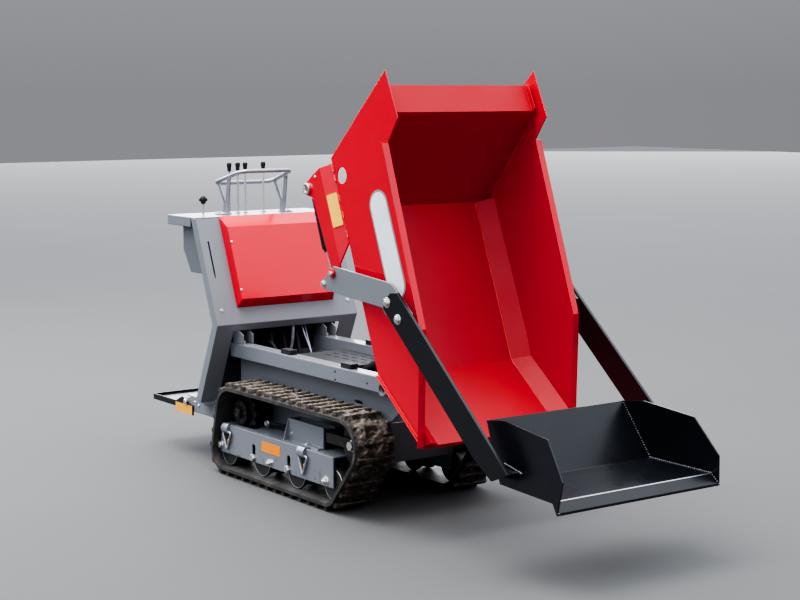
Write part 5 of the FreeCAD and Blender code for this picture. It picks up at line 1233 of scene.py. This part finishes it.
def shovel_welds():
    """Welds of the cheeks to the arms, and along the shovel's inner corners."""
    welds = Piece("shovel_welds")
    for side in SIDES:
        out = LEFT * side
        start, end = (shovel_at(side, x, z) for x, z in CHEEK_WELD)
        welds.bead(start, end, out + UP * 0.5, CHEEK_DROPS)
        for first, last, open_way in SHOVEL_SEAMS:
            start, end = (shovel_at(side, x, z, -SHOVEL_SHEET) for x, z in (first, last))
            welds.bead(start, end, open_way - out, *SEAM_DROPS)
    # The beads' lighter black is a painted highlight
    welds.finish(HIGHLIGHTED_WELD_BLACK, "loader", 60.0)


def painted_fold_highlight():
    """Bright steel strip along the fold between the shovel's floor and its blade, a painted highlight of
    the bend.
    """
    fold = Piece("painted_fold_highlight")
    run = Vector((BLADE_EDGE[0] - FLOOR_FRONT[0], 0.0, BLADE_EDGE[1] - FLOOR_FRONT[1])).normalized()
    rise = Vector((-run.z, 0.0, run.x)) * HIGHLIGHT_THICKNESS * 0.5
    corners = []
    for side, down in ((-1.0, 0.0), (-1.0, HIGHLIGHT_WIDTH), (1.0, HIGHLIGHT_WIDTH), (1.0, 0.0)):
        corners.append(shovel_at(side, *FLOOR_FRONT, -SHOVEL_SHEET) + run * down)
    fold.join([[fold.form.verts.new(corner + shift) for corner in corners] for shift in (-rise, rise)])
    fold.finish(WORN_STEEL, "loader")


arm_bolts()
shovel_welds()
painted_fold_highlight()


# Stage

STAGE_HALF = 30.0
STAGE_TONE = (0.090, 0.0885, 0.087)
STAGE_MOTTLE = 0.95
STAGE_ROUGHNESS = 0.9
CLOUD_SCALE = 0.8
SKY_STRENGTH = 3.0
# Sky from the ground up, columns are height on a scale from nadir 0 to zenith 1, and tone
SKY_BANDS = (
    (0.50, (0.08, 0.08, 0.085)), (0.58, (0.11, 0.115, 0.125)), (0.67, (0.54, 0.60, 0.70)),
    (0.85, (0.90, 0.95, 1.0)),
)
SHADE_WAY = (0.80, 0.60, 0.0)     # the surroundings are darker this way
SHADE_SPAN = (-0.2, 0.8)          # how far round to it the shade starts and is full, as a cosine
SHADE_SHARE = 0.72
# Lights: name, place, the point that it faces, width and height, power and colour
LIGHTS = (
    ("overhead", (-0.5, -0.9, 5.0), (-0.4, -0.2, 0.6), (3.0, 3.0), 240.0, (1.0, 1.0, 1.0)),
    ("behind", (-29.25, 22.5, 6.75), (0.0, 0.0, 0.9), (40.5, 14.4), 7700.0, (0.97, 0.98, 1.0)),
    ("rear_left", (-5.6, -1.6, 4.6), (0.0, 0.0, 0.6), (4.0, 2.5), 300.0, (1.0, 1.0, 1.0)),
)


def make_floor():
    """A plain pale floor, very slightly clouded."""
    mesh = bpy.data.meshes.new("floor")
    corners = [(x * STAGE_HALF, y * STAGE_HALF, 0.0) for x, y in ((-1, -1), (1, -1), (1, 1), (-1, 1))]
    mesh.from_pydata(corners, [], [(0, 1, 2, 3)])
    floor = bpy.data.objects.new("floor", mesh)
    bpy.context.scene.collection.objects.link(floor)
    paint = Paint("floor")
    clouds = paint.spread(paint.noise(CLOUD_SCALE), *EVEN)
    paint.link(paint.mix(clouds, shaded(STAGE_TONE, STAGE_MOTTLE), STAGE_TONE), "Base Color")
    paint.set(Roughness=STAGE_ROUGHNESS)
    mesh.materials.append(paint.material)


def make_light(name, place, target, size, power, colour):
    """A soft rectangular light that the camera doesn't see."""
    light = bpy.data.lights.new(name, "AREA")
    light.shape = "RECTANGLE"
    light.size = size[0]
    light.size_y = size[1]
    light.energy = power
    light.color = colour
    lamp = bpy.data.objects.new(name, light)
    lamp.location = place
    lamp.rotation_euler = (Vector(target) - Vector(place)).to_track_quat("-Z", "Y").to_euler()
    lamp.visible_camera = False
    bpy.context.scene.collection.objects.link(lamp)


def make_world():
    """Soft studio surroundings, brighter overhead than at eye level."""
    world = bpy.data.worlds.new("studio")
    bpy.context.scene.world = world
    world.use_nodes = True
    sky = Nodes(world.node_tree, "Generated")
    ramp = sky.add("ValToRGB")
    bands = ramp.color_ramp.elements
    bands.remove(bands[-1])
    for position, tone in SKY_BANDS:
        band = bands.new(position)
        band.color = (*tone, 1.0)
    bands.remove(bands[0])
    height = sky.spread(sky.part_of(sky.coords, "Z"), -1.0, 1.0)
    sky.links.new(height, ramp.inputs["Fac"])
    turned = sky.add("VectorMath")
    turned.operation = "DOT_PRODUCT"
    turned.inputs[1].default_value = SHADE_WAY
    sky.links.new(sky.coords, turned.inputs[0])
    strength = sky.spread(turned.outputs["Value"], *SHADE_SPAN, SKY_STRENGTH, SKY_STRENGTH * SHADE_SHARE)
    background = sky.nodes["Background"]
    sky.links.new(ramp.outputs["Color"], background.inputs["Color"])
    sky.links.new(strength, background.inputs["Strength"])


def make_camera():
    """The camera, where the photograph was taken from."""
    camera_data = bpy.data.cameras.new("camera")
    camera_data.lens = CAMERA_LENS
    camera_data.sensor_width = CAMERA_SENSOR
    camera_data.clip_end = CAMERA_REACH
    camera = bpy.data.objects.new("camera", camera_data)
    camera.location = at(*CAMERA_AT)
    camera.rotation_euler = (math.radians(90.0 - CAMERA_PITCH), 0.0, math.radians(CAMERA_AZIMUTH))
    bpy.context.scene.collection.objects.link(camera)
    bpy.context.scene.camera = camera


make_floor()
make_world()
bpy.context.scene.view_settings.look = "AgX - High Contrast"
for light_values in LIGHTS:
    make_light(*light_values)
make_camera()
